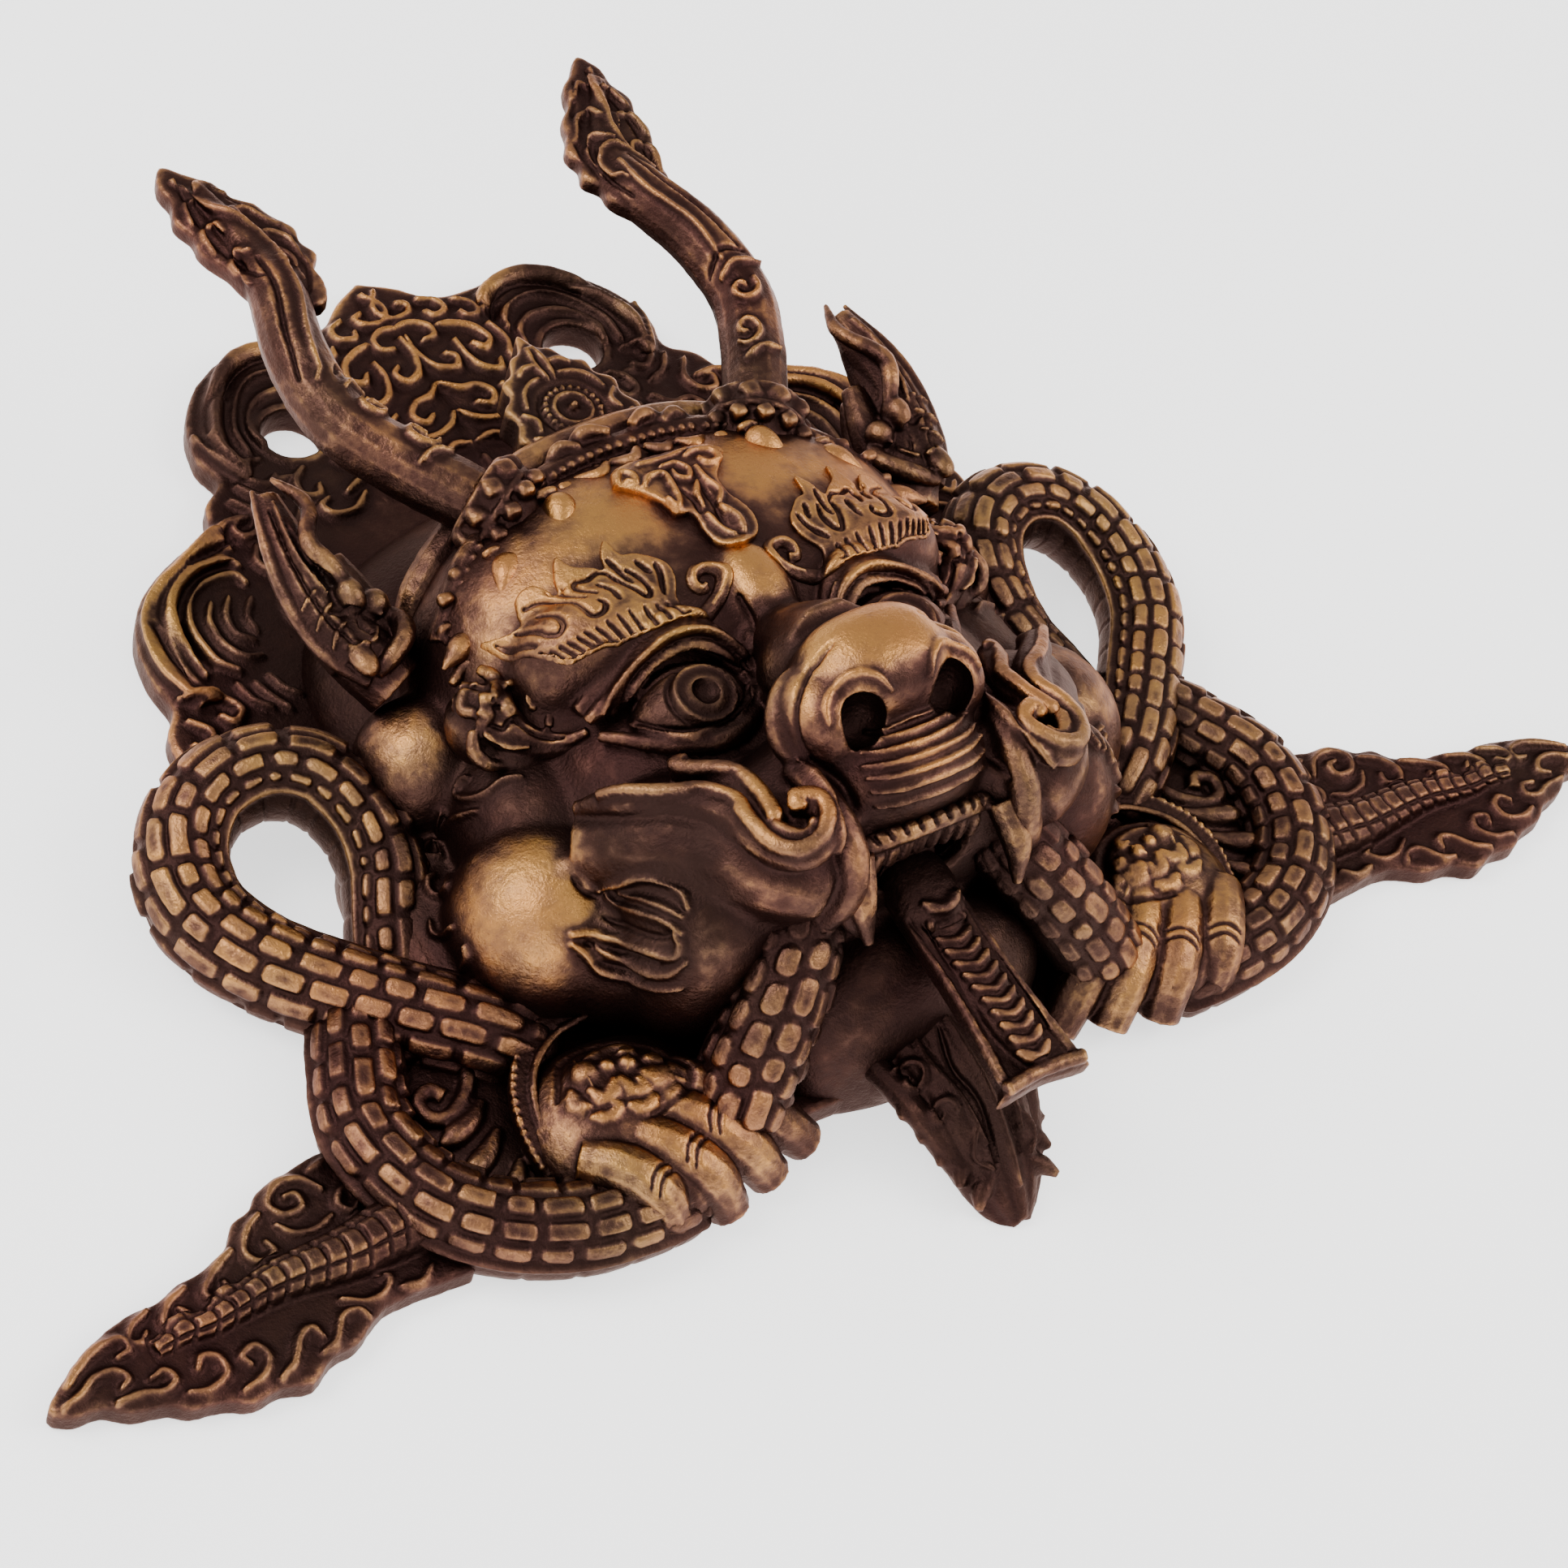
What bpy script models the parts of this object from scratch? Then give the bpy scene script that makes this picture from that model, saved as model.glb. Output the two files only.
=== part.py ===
"""A cast bronze guardian mask with two horns, lying on its back.

The mask faces up (+Z), its crown points along +Y and its width runs along X. The whole face,
the scrolled back plate, the serpents, hands, tails and tongue are one hollow casting. The two
horns are castings of their own that stand in collars on the brow.

The forms are laid out in parts of the mask's width: one part is a millimetre on a mask that is
460 mm wide. Walls, thicknesses, clearances and the holes have real sizes of their own.
"""

import math

import bmesh
import bpy
import numpy as np
from mathutils import Matrix, Vector

# Driving sizes, in metres
MASK_WIDTH = 0.460  # from tail tip to tail tip
PLATE_THICKNESS = 0.008  # scrolled plate behind the head
WALL = 0.005  # bronze between the face and the hollow behind it
SERPENT_DIAMETER = 0.0225  # looped serpent bodies
TAIL_THICKNESS = 0.008  # leaf-shaped tails and the leaf below the chin
TONGUE_WIDTH = 0.019
TONGUE_THICKNESS = 0.006
CANINE_LENGTH = 0.015
LOBE_HOLE = 0.016  # piercing in each upper lobe of the plate
HORN_DIAMETER = 0.017  # shaft of a horn above its collar
HORN_GAP = 0.0003  # clearance between a horn and its collar
COLLAR_WIDTH = 0.004  # how far a collar stands out round the horn
BALL_CHEEK = 0.048  # diameter of a polished cheek

# One part of the width, the unit of the layout
PART = MASK_WIDTH / 460.0

# Fineness of the fused surface and the number of triangles it is reduced to
BODY_SKIN = 1.7 * PART
HORN_SKIN = 1.2 * PART
BODY_TRIANGLES = 7200
HORN_TRIANGLES = 620

BRONZE = (0.20, 0.10, 0.055, 1.0)
HORN_BRONZE = (0.27, 0.15, 0.08, 1.0)


def at(x, y, z):
    """A point of the layout, given in parts, as metres."""
    return Vector((x, y, z)) * PART


def parts(size):
    """A real size in metres as parts of the layout."""
    return size / PART


def sampled(points, steps):
    """A smooth Catmull-Rom path through rows of numbers, with steps samples a stretch."""
    rows = [np.array(p, dtype=float) for p in points]
    rows = [2 * rows[0] - rows[1], *rows, 2 * rows[-1] - rows[-2]]
    path = []
    for a, b, c, d in zip(rows, rows[1:], rows[2:], rows[3:]):
        for i in range(steps):
            t = i / steps
            path.append(
                0.5
                * (
                    2 * b
                    + (c - a) * t
                    + (2 * a - 5 * b + 4 * c - d) * t * t
                    + (3 * b - a - 3 * c + d) * t**3
                )
            )
    path.append(rows[-2])
    return path


def taken_mesh(curve_object):
    """The mesh of a curve object with its caps welded; the curve is removed."""
    deps = bpy.context.evaluated_depsgraph_get()
    mesh = bpy.data.meshes.new_from_object(curve_object.evaluated_get(deps))
    curve = curve_object.data
    bpy.data.objects.remove(curve_object)
    bpy.data.curves.remove(curve)
    bm = bmesh.new()
    bm.from_mesh(mesh)
    bmesh.ops.remove_doubles(bm, verts=bm.verts, dist=1e-5)
    bmesh.ops.recalc_face_normals(bm, faces=bm.faces)
    bm.to_mesh(mesh)
    bm.free()
    return mesh


def tube(points, radii, steps=4, resolution=2):
    """A round bar through points (in parts), thick as radii say along its length."""
    if not hasattr(radii, "__len__"):
        radii = [radii] * len(points)
    path = sampled([(*p, r) for p, r in zip(points, radii)], steps)
    curve = bpy.data.curves.new("bar", "CURVE")
    curve.dimensions = "3D"
    curve.bevel_depth = PART
    curve.bevel_resolution = resolution
    curve.use_fill_caps = True
    spline = curve.splines.new("POLY")
    spline.points.add(len(path) - 1)
    for point, row in zip(spline.points, path):
        point.co = (*at(*row[:3]), 1.0)
        point.radius = max(row[3], 0.2)
    holder = bpy.data.objects.new("bar", curve)
    bpy.context.scene.collection.objects.link(holder)
    return taken_mesh(holder)


def slab(outline, low, high, holes=(), steps=3, edge=1.0):
    """A flat leaf of metal between two heights, from a smooth closed outline in parts.

    holes are (x, y, diameter), all in parts. edge is the rounding of its rim.
    """
    curve = bpy.data.curves.new("leaf", "CURVE")
    curve.dimensions = "2D"
    curve.fill_mode = "BOTH"
    curve.extrude = PART * ((high - low) / 2 - edge)
    curve.bevel_depth = PART * edge
    curve.bevel_resolution = 1
    curve.offset = -PART * edge
    ring = sampled([*outline, outline[0]], steps)[:-1]
    loops = [ring]
    for x, y, diameter in holes:
        turn = [2 * math.pi * i / 16 for i in range(16)]
        loops.append(
            [(x + diameter / 2 * math.cos(a), y + diameter / 2 * math.sin(a)) for a in turn]
        )
    for loop in loops:
        spline = curve.splines.new("POLY")
        spline.points.add(len(loop) - 1)
        for point, row in zip(spline.points, loop):
            point.co = (row[0] * PART, row[1] * PART, 0.0, 1.0)
        spline.use_cyclic_u = True
    holder = bpy.data.objects.new("leaf", curve)
    holder.location = at(0, 0, (low + high) / 2)
    bpy.context.scene.collection.objects.link(holder)
    bpy.context.view_layer.update()
    lift = holder.matrix_world.copy()
    mesh = taken_mesh(holder)
    mesh.transform(lift)
    return mesh


def ball(centre, half, power=2.0, segments=24, rings=14):
    """A rounded lump with half sizes in parts; a power over 2 makes it boxier."""
    bm = bmesh.new()
    bmesh.ops.create_uvsphere(bm, u_segments=segments, v_segments=rings, radius=1.0)
    for vert in bm.verts:
        swell = sum(abs(c) ** power for c in vert.co) ** (-1.0 / power)
        vert.co = Vector([c * swell * h for c, h in zip(vert.co, half)])
        vert.co = vert.co * PART + at(*centre)
    mesh = bpy.data.meshes.new("lump")
    bm.to_mesh(mesh)
    bm.free()
    return mesh


def turned(mesh, centre, axis, degrees):
    """The mesh turned about an axis through a point given in parts."""
    place = at(*centre)
    spin = Matrix.Rotation(math.radians(degrees), 4, axis)
    mesh.transform(Matrix.Translation(place) @ spin @ Matrix.Translation(-place))
    return mesh


def spiral(centre, start, radius, turns, height, rise=0.0, count=12):
    """Points of a scroll that winds inwards from a starting angle in degrees."""
    rows = []
    for i in range(count):
        share = i / (count - 1)
        angle = math.radians(start + 360 * turns * share)
        reach = radius * (1 - 0.8 * share)
        rows.append(
            (
                centre[0] + reach * math.cos(angle),
                centre[1] + reach * math.sin(angle),
                height + rise * share,
            )
        )
    return rows


# The two collections: the finished pieces, and the shapes that only cut
mask_collection = None
cutter_collection = None


def start_scene():
    """Clear the scene and make the two collections."""
    global mask_collection, cutter_collection
    for old in list(bpy.data.objects):
        bpy.data.objects.remove(old)
    mask_collection = bpy.data.collections.new("bhairava_mask")
    cutter_collection = bpy.data.collections.new("cutters")
    for collection in (mask_collection, cutter_collection):
        bpy.context.scene.collection.children.link(collection)


def joined(name, meshes):
    """One mesh that holds all the given ones, which are removed."""
    bm = bmesh.new()
    for mesh in meshes:
        bm.from_mesh(mesh)
        bpy.data.meshes.remove(mesh)
    whole = bpy.data.meshes.new(name)
    bm.to_mesh(whole)
    bm.free()
    return whole


def settled(obj):
    """Replace the object's mesh by what its modifiers make of it."""
    deps = bpy.context.evaluated_depsgraph_get()
    mesh = bpy.data.meshes.new_from_object(obj.evaluated_get(deps))
    obj.modifiers.clear()
    obj.data = mesh
    return obj


def fused(name, meshes, skin, triangles, collection):
    """The given forms run together into one casting, reduced to about triangles faces."""
    obj = bpy.data.objects.new(name, joined(name, meshes))
    collection.objects.link(obj)
    remesh = obj.modifiers.new("run_together", "REMESH")
    remesh.mode = "VOXEL"
    remesh.voxel_size = skin
    settled(obj)
    soften = obj.modifiers.new("soften", "SMOOTH")
    soften.factor = 0.5
    soften.iterations = 1
    settled(obj)
    reduce = obj.modifiers.new("reduce", "DECIMATE")
    reduce.ratio = min(1.0, triangles / (2.0 * len(obj.data.polygons)))
    reduce.use_collapse_triangulate = True
    settled(obj)
    return obj


def cutter(name, meshes, skin=0.0, triangles=0):
    """A shape that is cut away, kept out of the model itself."""
    if skin:
        obj = fused(name, meshes, skin, triangles, cutter_collection)
    else:
        obj = bpy.data.objects.new(name, joined(name, meshes))
        cutter_collection.objects.link(obj)
    obj.hide_render = True
    obj.display_type = "WIRE"
    return obj


def cut(obj, tool):
    """Take the tool away from the object."""
    boolean = obj.modifiers.new("cut_" + tool.name, "BOOLEAN")
    boolean.operation = "DIFFERENCE"
    boolean.solver = "EXACT"
    boolean.object = tool


def bronze(obj, colour, roughness):
    """A plain cast bronze finish."""
    material = bpy.data.materials.new(obj.name + "_bronze")
    material.use_nodes = True
    shader = material.node_tree.nodes["Principled BSDF"]
    shader.inputs["Base Color"].default_value = colour
    shader.inputs["Metallic"].default_value = 0.9
    shader.inputs["Roughness"].default_value = roughness
    obj.data.materials.clear()
    obj.data.materials.append(material)


# Head: forms (centre, half sizes, boxiness) that the hollow inside follows
HEAD_FORMS = (
    ((0, 110, 28), (72, 46, 46), 2.5),  # forehead
    ((0, 64, 26), (66, 50, 41), 2.4),  # middle of the face
    ((0, 34, 38), (48, 23, 44), 2.4),  # muzzle
)
MOUTH_HEIGHT = 57.0  # middle of the mouth opening above the back
TEETH_LINE = 14.0


def head():
    """Forehead, face, muzzle, jaw, cheeks and the hair that ties them to the plate."""
    forms = [ball(c, h, p, 32, 18) for c, h, p in HEAD_FORMS]
    forms.append(ball((0, 128, 2), (86, 54, 32), 2.4, 28, 14))
    forms.append(ball((0, 4, 6), (42, 20, 36), 2.2))
    cheek = parts(BALL_CHEEK) / 2
    for side in (-1, 1):
        forms.append(ball((72 * side, 52, 23), (cheek, cheek, cheek), 2.0))
        forms.append(ball((75 * side, 104, 22), (18, 18, 18), 2.0))
        flames = [(80, 40, 40), (68, 32, 45), (56, 17, 40)]
        for i in range(3):
            row = [(x * side, y - 7 * i + 6, z - 4 * i) for x, y, z in flames]
            forms.append(tube(row, (1.5, 4.5, 2.5)))
    return forms


def nose():
    """Broad nose with round wings, the ball between the eyes and the bridge."""
    forms = [
        ball((0, 45, 84), (18, 15, 20), 2.1),
        ball((0, 90, 70), (9, 13, 9)),
        ball((0, 75, 68), (6.5, 6.5, 6.5)),
        tube([(0, 80, 62), (0, 66, 74), (0, 54, 84)], (9, 9, 11)),
    ]
    for side in (-1, 1):
        forms.append(ball((17 * side, 44, 83), (10, 13, 12)))
        wing = [(9, 60, 84), (22, 54, 84), (26, 43, 80), (19, 34, 78)]
        forms.append(tube([(x * side, y, z) for x, y, z in wing], (3, 3.6, 3.6, 2.5)))
    return forms


def eyes_and_brows():
    """Bulging eyes with double lids under flaming brows that end in a scroll."""
    forms = []
    brow = [(60, 110, 50), (53, 99, 58), (43, 93, 67), (31, 89, 73), (20, 90, 75)]
    curl = [(13, 94, 75), (10, 99, 74), (14, 103, 73), (18, 100, 73), (16, 97, 74)]
    lid = [(53, 78, 59), (44, 80, 64), (34, 84, 69), (23, 83, 72), (13, 74, 68)]
    under = [(52, 74, 58), (40, 60, 65), (28, 55, 67), (15, 62, 66)]
    flames = ((25, 95, 73), (24, 117, 71.5)), ((36, 96, 70), (37, 119, 68.5))
    flames += ((47, 100, 63), (49, 118, 64)), ((56, 105, 56), (58, 119, 57))
    for side in (-1, 1):

        def there(points):
            return [(x * side, y, z) for x, y, z in points]

        forms.append(ball((29 * side, 70, 60), (15, 12.5, 12), 2.0))
        forms.append(tube(there(spiral((28, 69.5), 0, 6, 1.02, 71, 0.0, 14)), 1.4))
        forms.append(tube(there(lid), (1.5, 3, 3.6, 3.4, 2)))
        forms.append(tube(there([(x, y + 4, z - 1) for x, y, z in lid]), (2, 3.5, 4, 4, 2)))
        forms.append(tube(there(under), (1.5, 2.6, 2.6, 1.5)))
        forms.append(tube(there(brow + curl), (2, 4.5, 5, 5, 4, 3, 2.5, 2.5, 2.2, 1.5)))
        for root, tip in flames:
            bend = [(a + b) / 2 for a, b in zip(root, tip)]
            bend[0] += 3
            bend[2] += 1
            forms.append(tube(there([root, bend, tip]), (4.6, 3.6, 1.0)))
    return forms


def moustache_and_lip():
    """Ribbon scrolls beside the nose, the ridged upper lip and its folds."""
    forms = [ball((0, 27, 74), (20, 12, 15), 2.3)]
    for i in range(5):
        y = 31 - 4.2 * i
        z = 89 - 5.5 * i
        arc = [(-19, y - 2, z - 7), (-10, y - 1, z - 1), (0, y, z + 0.5), (10, y - 1, z - 1)]
        forms.append(tube([*arc, (19, y - 2, z - 7)], 1.7))
    outer = [(66, 62, 56), (61, 52, 67), (50, 44, 71), (45, 33, 74), (44, 21, 78)]
    outer += [(38, 14, 80), (31, 16, 82), (29, 24, 83), (34, 28, 83), (38, 24, 82)]
    inner = [(47, 57, 68), (41, 48, 72), (39, 35, 76), (37, 24, 79)]
    cheek_fold = [(60, 50, 52), (48, 36, 60), (40, 20, 64), (30, 12, 62)]
    lip_fold = [(26, 40, 76), (25, 26, 80), (22, 14, 72), (24, 10, 60), (30, 13, 52)]
    for side in (-1, 1):
        forms.append(
            tube([(x * side, y, z) for x, y, z in outer], (2, 4, 4.4, 4.4, 4.4, 4, 3.6, 3.2, 3, 2.4))
        )
        forms.append(tube([(x * side, y, z) for x, y, z in inner], (2, 3.4, 3.4, 2.4)))
        forms.append(tube([(x * side, y, z) for x, y, z in cheek_fold], (11, 12, 11, 8)))
        forms.append(tube([(x * side, y, z) for x, y, z in lip_fold], (3, 4.2, 4.2, 4, 3)))
    return forms


def teeth_and_tongue():
    """A row of small teeth, four canines and the long tongue that turns up at its tip."""
    forms = []
    for i in range(7):
        x = -13.5 + 4.5 * i
        forms.append(ball((x, TEETH_LINE + 0.5, 64), (2.0, 2.4, 4.5), 3.0, 10, 6))
    forms.append(tube([(-17, 15, 66), (0, 13, 68), (17, 15, 66)], 3.2))
    fang = parts(CANINE_LENGTH)
    for side in (-1, 1):
        root = Vector((20.5 * side, 13, 68))
        tip = root + Vector((-0.5 * side, -9, -11)).normalized() * fang
        forms.append(tube([root, (root + tip) / 2, tip], (4.2, 3.4, 1.0)))
    half = parts(TONGUE_WIDTH) / 2
    thick = parts(TONGUE_THICKNESS)
    outline = [(-0.8, 14), (-0.9, -20), (-1.05, -38), (-1.15, -46), (1.15, -46), (1.05, -38)]
    outline += [(0.9, -20), (0.8, 14)]
    outline = [(x * half, y) for x, y in outline]
    tongue = slab(outline, 50 - thick, 50, edge=1.2, steps=2)
    forms.append(turned(tongue, (0, 8, 50), "X", 5.0))
    forms.append(tube([(-half, -43, 47.5), (half, -43, 47.5)], (2.6, 2.6)))
    for i in range(9):
        forms.append(ball((0, 1 - 4.2 * i, 50.4 - 0.36 * i), (4, 1.7, 2.0), 2.0, 10, 6))
    for side in (-1, 1):
        edge = [(half * 0.85 * side, 4, 49.5), (half * 0.95 * side, -20, 47.5)]
        forms.append(tube([*edge, (half * side, -42, 46)], 1.6))
    return forms


# Upper loop of the serpent beside each ear, and its lower arc down to the hand
LOOP = [
    (97, 37, 13),
    (109, 48, 12),
    (122, 62, 10.5),
    (134, 77, 10),
    (140, 94, 10),
    (137, 109, 13),
    (127, 118, 17),
    (113, 119, 20),
    (101, 112, 20),
    (95, 99, 17),
    (95, 85, 12),
    (102, 70, 8),
]
LOWER_ARC = [
    (118, 56, 6),
    (128, 42, 8),
    (134, 24, 8),
    (130, 5, 7.5),
    (119, -8, 7.5),
    (103, -16, 7.5),
    (86, -18, 7),
    (70, -16, 5),
]
MOUTH_BODY = [(29, 18, 50), (35, 10, 43), (43, 2, 33), (52, -5, 20)]


def serpents():
    """Looped serpent bodies with two staggered rows of plate-like scales on their backs."""
    thick = parts(SERPENT_DIAMETER) / 2
    forms = []
    for side in (-1, 1):
        for path in (LOOP, LOWER_ARC, MOUTH_BODY):
            path = [(x * side, y, z) for x, y, z in path]
            forms.append(tube(path, thick, 4, 3))
            forms.extend(scales(path, thick))
    return forms


def scales(path, thick):
    """Low plates in two staggered rows along the back of a serpent."""
    rows = sampled(path, 6)
    length = 0.0
    wanted = 0.0
    spacing = 10.0
    found = []
    for a, b in zip(rows, rows[1:]):
        length += np.linalg.norm(b - a)
        if length >= wanted:
            found.append((a, b - a))
            wanted += spacing
    plates = []
    for place, along in found[1:-1]:
        along = along / np.linalg.norm(along)
        across = np.cross(along, (0.0, 0.0, 1.0))
        across = across / np.linalg.norm(across)
        up = np.cross(across, along)
        for row in (-1, 1):
            lean = math.radians(24 * row)
            out = up * math.cos(lean) + across * math.sin(lean)
            spot = place + out * (thick - 0.4)
            spot = spot + along * (spacing / 4 * row)
            plate = ball((0, 0, 0), (4.0, 3.8, 2.2), 3.0, 8, 5)
            turn = math.degrees(math.atan2(along[1], along[0]))
            plate = turned(plate, (0, 0, 0), "Z", turn)
            plate.transform(placed(spot, out))
            plates.append(plate)
    return plates


def placed(spot, out):
    """The move that sets a plate, made flat at the origin, on a leaning back."""
    lean = Vector((0, 0, 1)).rotation_difference(Vector(out)).to_matrix().to_4x4()
    return Matrix.Translation(at(*spot)) @ lean


# Back plate, right half from the top centre down to the neck of the leaf below the chin
PLATE_EDGE = [
    (0, 263.5),
    (9, 258.5),
    (17, 252),
    (28, 251),
    (44, 252.5),
    (58, 246),
    (67, 235),
    (70.5, 223),
    (69, 214),
    (76, 208),
    (80, 200),
    (92, 195.5),
    (105, 187.5),
    (113, 176),
    (115.5, 163),
    (115, 153),
    (120, 146),
    (120, 137),
    (108, 126),
    (97, 112),
    (94, 96),
    (95, 80),
    (104, 64),
    (120, 52),
    (132, 34),
    (132, 10),
    (120, -8),
    (98, -16),
    (72, -18),
    (45, -13),
    (22, -13),
]
LOBE_CENTRE = (43.5, 221)


def plate():
    """Back plate with rimmed lobes, two piercings and curls of hair."""
    thick = parts(PLATE_THICKNESS)
    hole = parts(LOBE_HOLE)
    edge = PLATE_EDGE + [(-x, y) for x, y in reversed(PLATE_EDGE[1:])]
    holes = [(LOBE_CENTRE[0] * side, LOBE_CENTRE[1], hole) for side in (-1, 1)]
    forms = [slab(edge, -4, thick, holes, steps=3, edge=1.2)]
    lobe_rim = [(30, 246, 0), (46, 249, 0), (59, 240, 0), (66, 226, 0), (63, 214, 0)]
    inner_rim = [(36, 238, 0), (46, 240, 0), (54, 233, 0), (57, 222, 0), (53, 211, 0)]
    side_rim = [(80, 196, 0), (95, 190, 0), (107, 179, 0), (110, 163, 0), (108, 150, 0)]
    side_inner = [(84, 187, 0), (94, 182, 0), (101, 172, 0), (102, 160, 0), (97, 151, 0)]
    side_heart = [(88, 178, 0), (94, 172, 0), (94, 162, 0), (88, 156, 0), (84, 162, 0)]
    curls = (
        ((0, 250), 90, 9, 1.2),
        ((15, 236), 200, 8, 1.3),
        ((18, 216), 20, 9, 1.3),
        ((66, 200), 60, 7, 1.2),
        ((33, 205), 120, 8, 1.2),
        ((60, 190), 240, 8, 1.3),
        ((113, 142), 90, 6, 1.1),
    )
    for side in (-1, 1):
        for rim, radius in (
            (lobe_rim, 3.4),
            (inner_rim, 2.6),
            (side_rim, 3.4),
            (side_inner, 2.8),
            (side_heart, 2.6),
        ):
            row = [(x * side, y, thick) for x, y, z in rim]
            forms.append(tube(row, [0.6 * radius, radius, radius, radius, 0.6 * radius], 3))
        for centre, start, radius, turns in curls:
            row = spiral(centre, start, radius, turns, thick, 0.8)
            forms.append(tube([(x * side, y, z) for x, y, z in row], 2.0, 2))
    return forms


def crown():
    """Beaded diadem with its drops, the pendant and the upright leaf with a rosette."""
    forms = [
        tube([(-66, 121, 47), (-50, 135, 56), (-28, 144, 60), (0, 147, 61)], 4.0),
        tube([(66, 121, 47), (50, 135, 56), (28, 144, 60), (0, 147, 61)], 4.0),
        tube([(-58, 140, 46), (-30, 153, 54), (0, 155, 58), (30, 153, 54), (58, 140, 46)], 5.0),
        ball((0, 130, 73), (13, 10, 8)),
        tube([(0, 124, 76), (0, 112, 79), (0, 99, 78)], (5, 4.2, 2)),
    ]
    leaf = [(-15, 150), (-17, 163), (-14, 176), (-6, 187), (0, 195)]
    leaf += [(-x, y) for x, y in reversed(leaf[:-1])]
    forms.append(slab(leaf, 44, 55, edge=1.6))
    forms.append(ball((0, 156, 30), (20, 16, 26), 2.4))
    forms.append(tube(spiral((0, 170), 0, 8, 1.02, 55.5, 0, 14)[:13], 1.8))
    forms.append(ball((0, 170, 55.5), (4, 4, 3.5)))
    drops = (((30, 131, 67), 20), ((48, 122, 62), 35))
    for side in (-1, 1):
        for centre, lean in drops:
            x, y, z = centre
            drop = [(x * side, y + 6, z), (x * side, y, z + 1), (x * side, y - 8, z)]
            forms.append(
                turned(tube(drop, (2.5, 5.2, 0.8)), (x * side, y, z), "Z", -lean * side)
            )
        for i in range(5):
            share = i / 4
            spot = ((62 - 44 * share) * side, 127 + 15 * math.sqrt(share), 54 + 10 * share)
            forms.append(ball(spot, (3.2, 3.2, 3.2), 2.6, 10, 6))
    return forms


HORN_LEAN = -4.5  # both horns lean this many parts to the same side at their middle
HORN = [
    (42, 148.5, 58.0),
    (52, 163.5, 60.0),
    (60, 180.5, 62.0),
    (59.5, 200, 65.0),
    (54, 219, 66.5),
    (53, 234, 66.0),
    (60, 258, 68.0),
]


def horn_path(side):
    """The middle line of one horn, mirrored and then leaned to one side."""
    lean = [HORN_LEAN * min(1.0, 1.6 * i / (len(HORN) - 1)) for i in range(len(HORN))]
    lean[-1] = 0.0
    return [(x * side + dx, y, z) for (x, y, z), dx in zip(HORN, lean)]


def collars_and_ears():
    """Studded collars that the horns stand in, leaf-shaped ears and the crest scrolls."""
    forms = []
    radius = parts(HORN_DIAMETER) / 2 + parts(COLLAR_WIDTH)
    for side in (-1, 1):

        def there(points):
            return [(x * side, y, z) for x, y, z in points]

        base = Vector(HORN[0])
        run = (Vector(HORN[1]) - base).normalized()
        foot = base - run * 20 - Vector((0, 0, 6))
        lip = base - run * (1 + parts(HORN_GAP))
        forms.append(tube(there([foot, base - run * 8, lip]), (radius, radius, radius)))
        for i in range(8):
            angle = 2 * math.pi * i / 8
            across = run.cross(Vector((0, 0, 1))).normalized()
            up = across.cross(run)
            out = across * math.cos(angle) + up * math.sin(angle)
            stud = base - run * 5 + out * radius
            forms.append(ball((stud[0] * side, stud[1], stud[2]), (2.6, 2.6, 2.6), 3.0, 8, 6))
        ear = [(76, 120, 36), (82, 131, 42), (85, 145, 46), (86, 158, 49), (85, 175, 53)]
        forms.append(tube(there(ear), (9, 9, 7.5, 5.5, 1.2), 4, 3))
        back = [(74, 128, 36), (77, 142, 41), (79, 156, 46), (83, 170, 51)]
        forms.append(tube(there(back), (7, 6, 5, 1.5)))
        forms.append(ball((89 * side, 133, 46), (5, 5, 5)))
        forms.append(ball((90 * side, 124, 40), (4, 4, 4)))
        crest = spiral((66, 100), 40, 13, 1.1, 50, 4, 14)
        forms.append(tube(there(crest), 3.6, 2))
        forms.append(ball((68 * side, 98, 40), (14, 14, 12)))
    return forms


def hands_and_leaves():
    """Hands that grip the serpents, with beaded cuffs and leaves behind them."""
    forms = []
    knuckles = ((59, -4), (66, -9), (75, -14), (86, -17))
    tips = ((39, -17.5), (52, -22), (65, -25.5), (81, -24))
    for side in (-1, 1):

        def there(points):
            return [(x * side, y, z) for x, y, z in points]

        forms.append(ball((80 * side, 4, 6), (22, 19, 16), 2.2))
        forms.append(ball((80 * side, 6, 19), (12, 9, 4.5), 2.4))
        for (kx, ky), (tx, ty) in zip(knuckles, tips):
            path = [(kx + 6, ky + 8, 15), (kx, ky, 17), ((kx + tx) / 2, (ky + ty) / 2, 13)]
            forms.append(tube(there([*path, (tx, ty, 6)]), (5.5, 5.6, 5.2, 4.4), 3, 3))
        cuff = [(84, 30, 12), (94, 26, 14), (101, 17, 15), (104, 6, 14), (103, -3, 11)]
        forms.append(tube(there(cuff), 3.2))
        for i in range(3):
            y = 38 - 13 * i
            leaf = [(105 - i, y - 6, 11), (114, y, 16), (120 - i, y + 4, 11)]
            forms.append(tube(there(leaf), (2, 4.5, 1.5)))
        for i in range(5):
            y = 88 - 10 * i
            curl = spiral((91 - 1.2 * i, y), 30 + 40 * i, 4.5, 0.9, 19 - i, 1.5, 8)
            forms.append(tube(there(curl), 1.8, 2))
        forms.append(ball((88 * side, 62, 6), (16, 40, 14), 2.4))
    return forms


TAIL_EDGE = [
    (128, 22),
    (141, 27),
    (158, 25.5),
    (171, 19),
    (181, 11.5),
    (195, 9),
    (210, 6.5),
    (222, 1),
    (230, -5),
    (221, -10),
    (206, -16),
    (190, -22),
    (175, -24),
    (161, -19.5),
    (148, -14),
    (128, -15),
]
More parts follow.
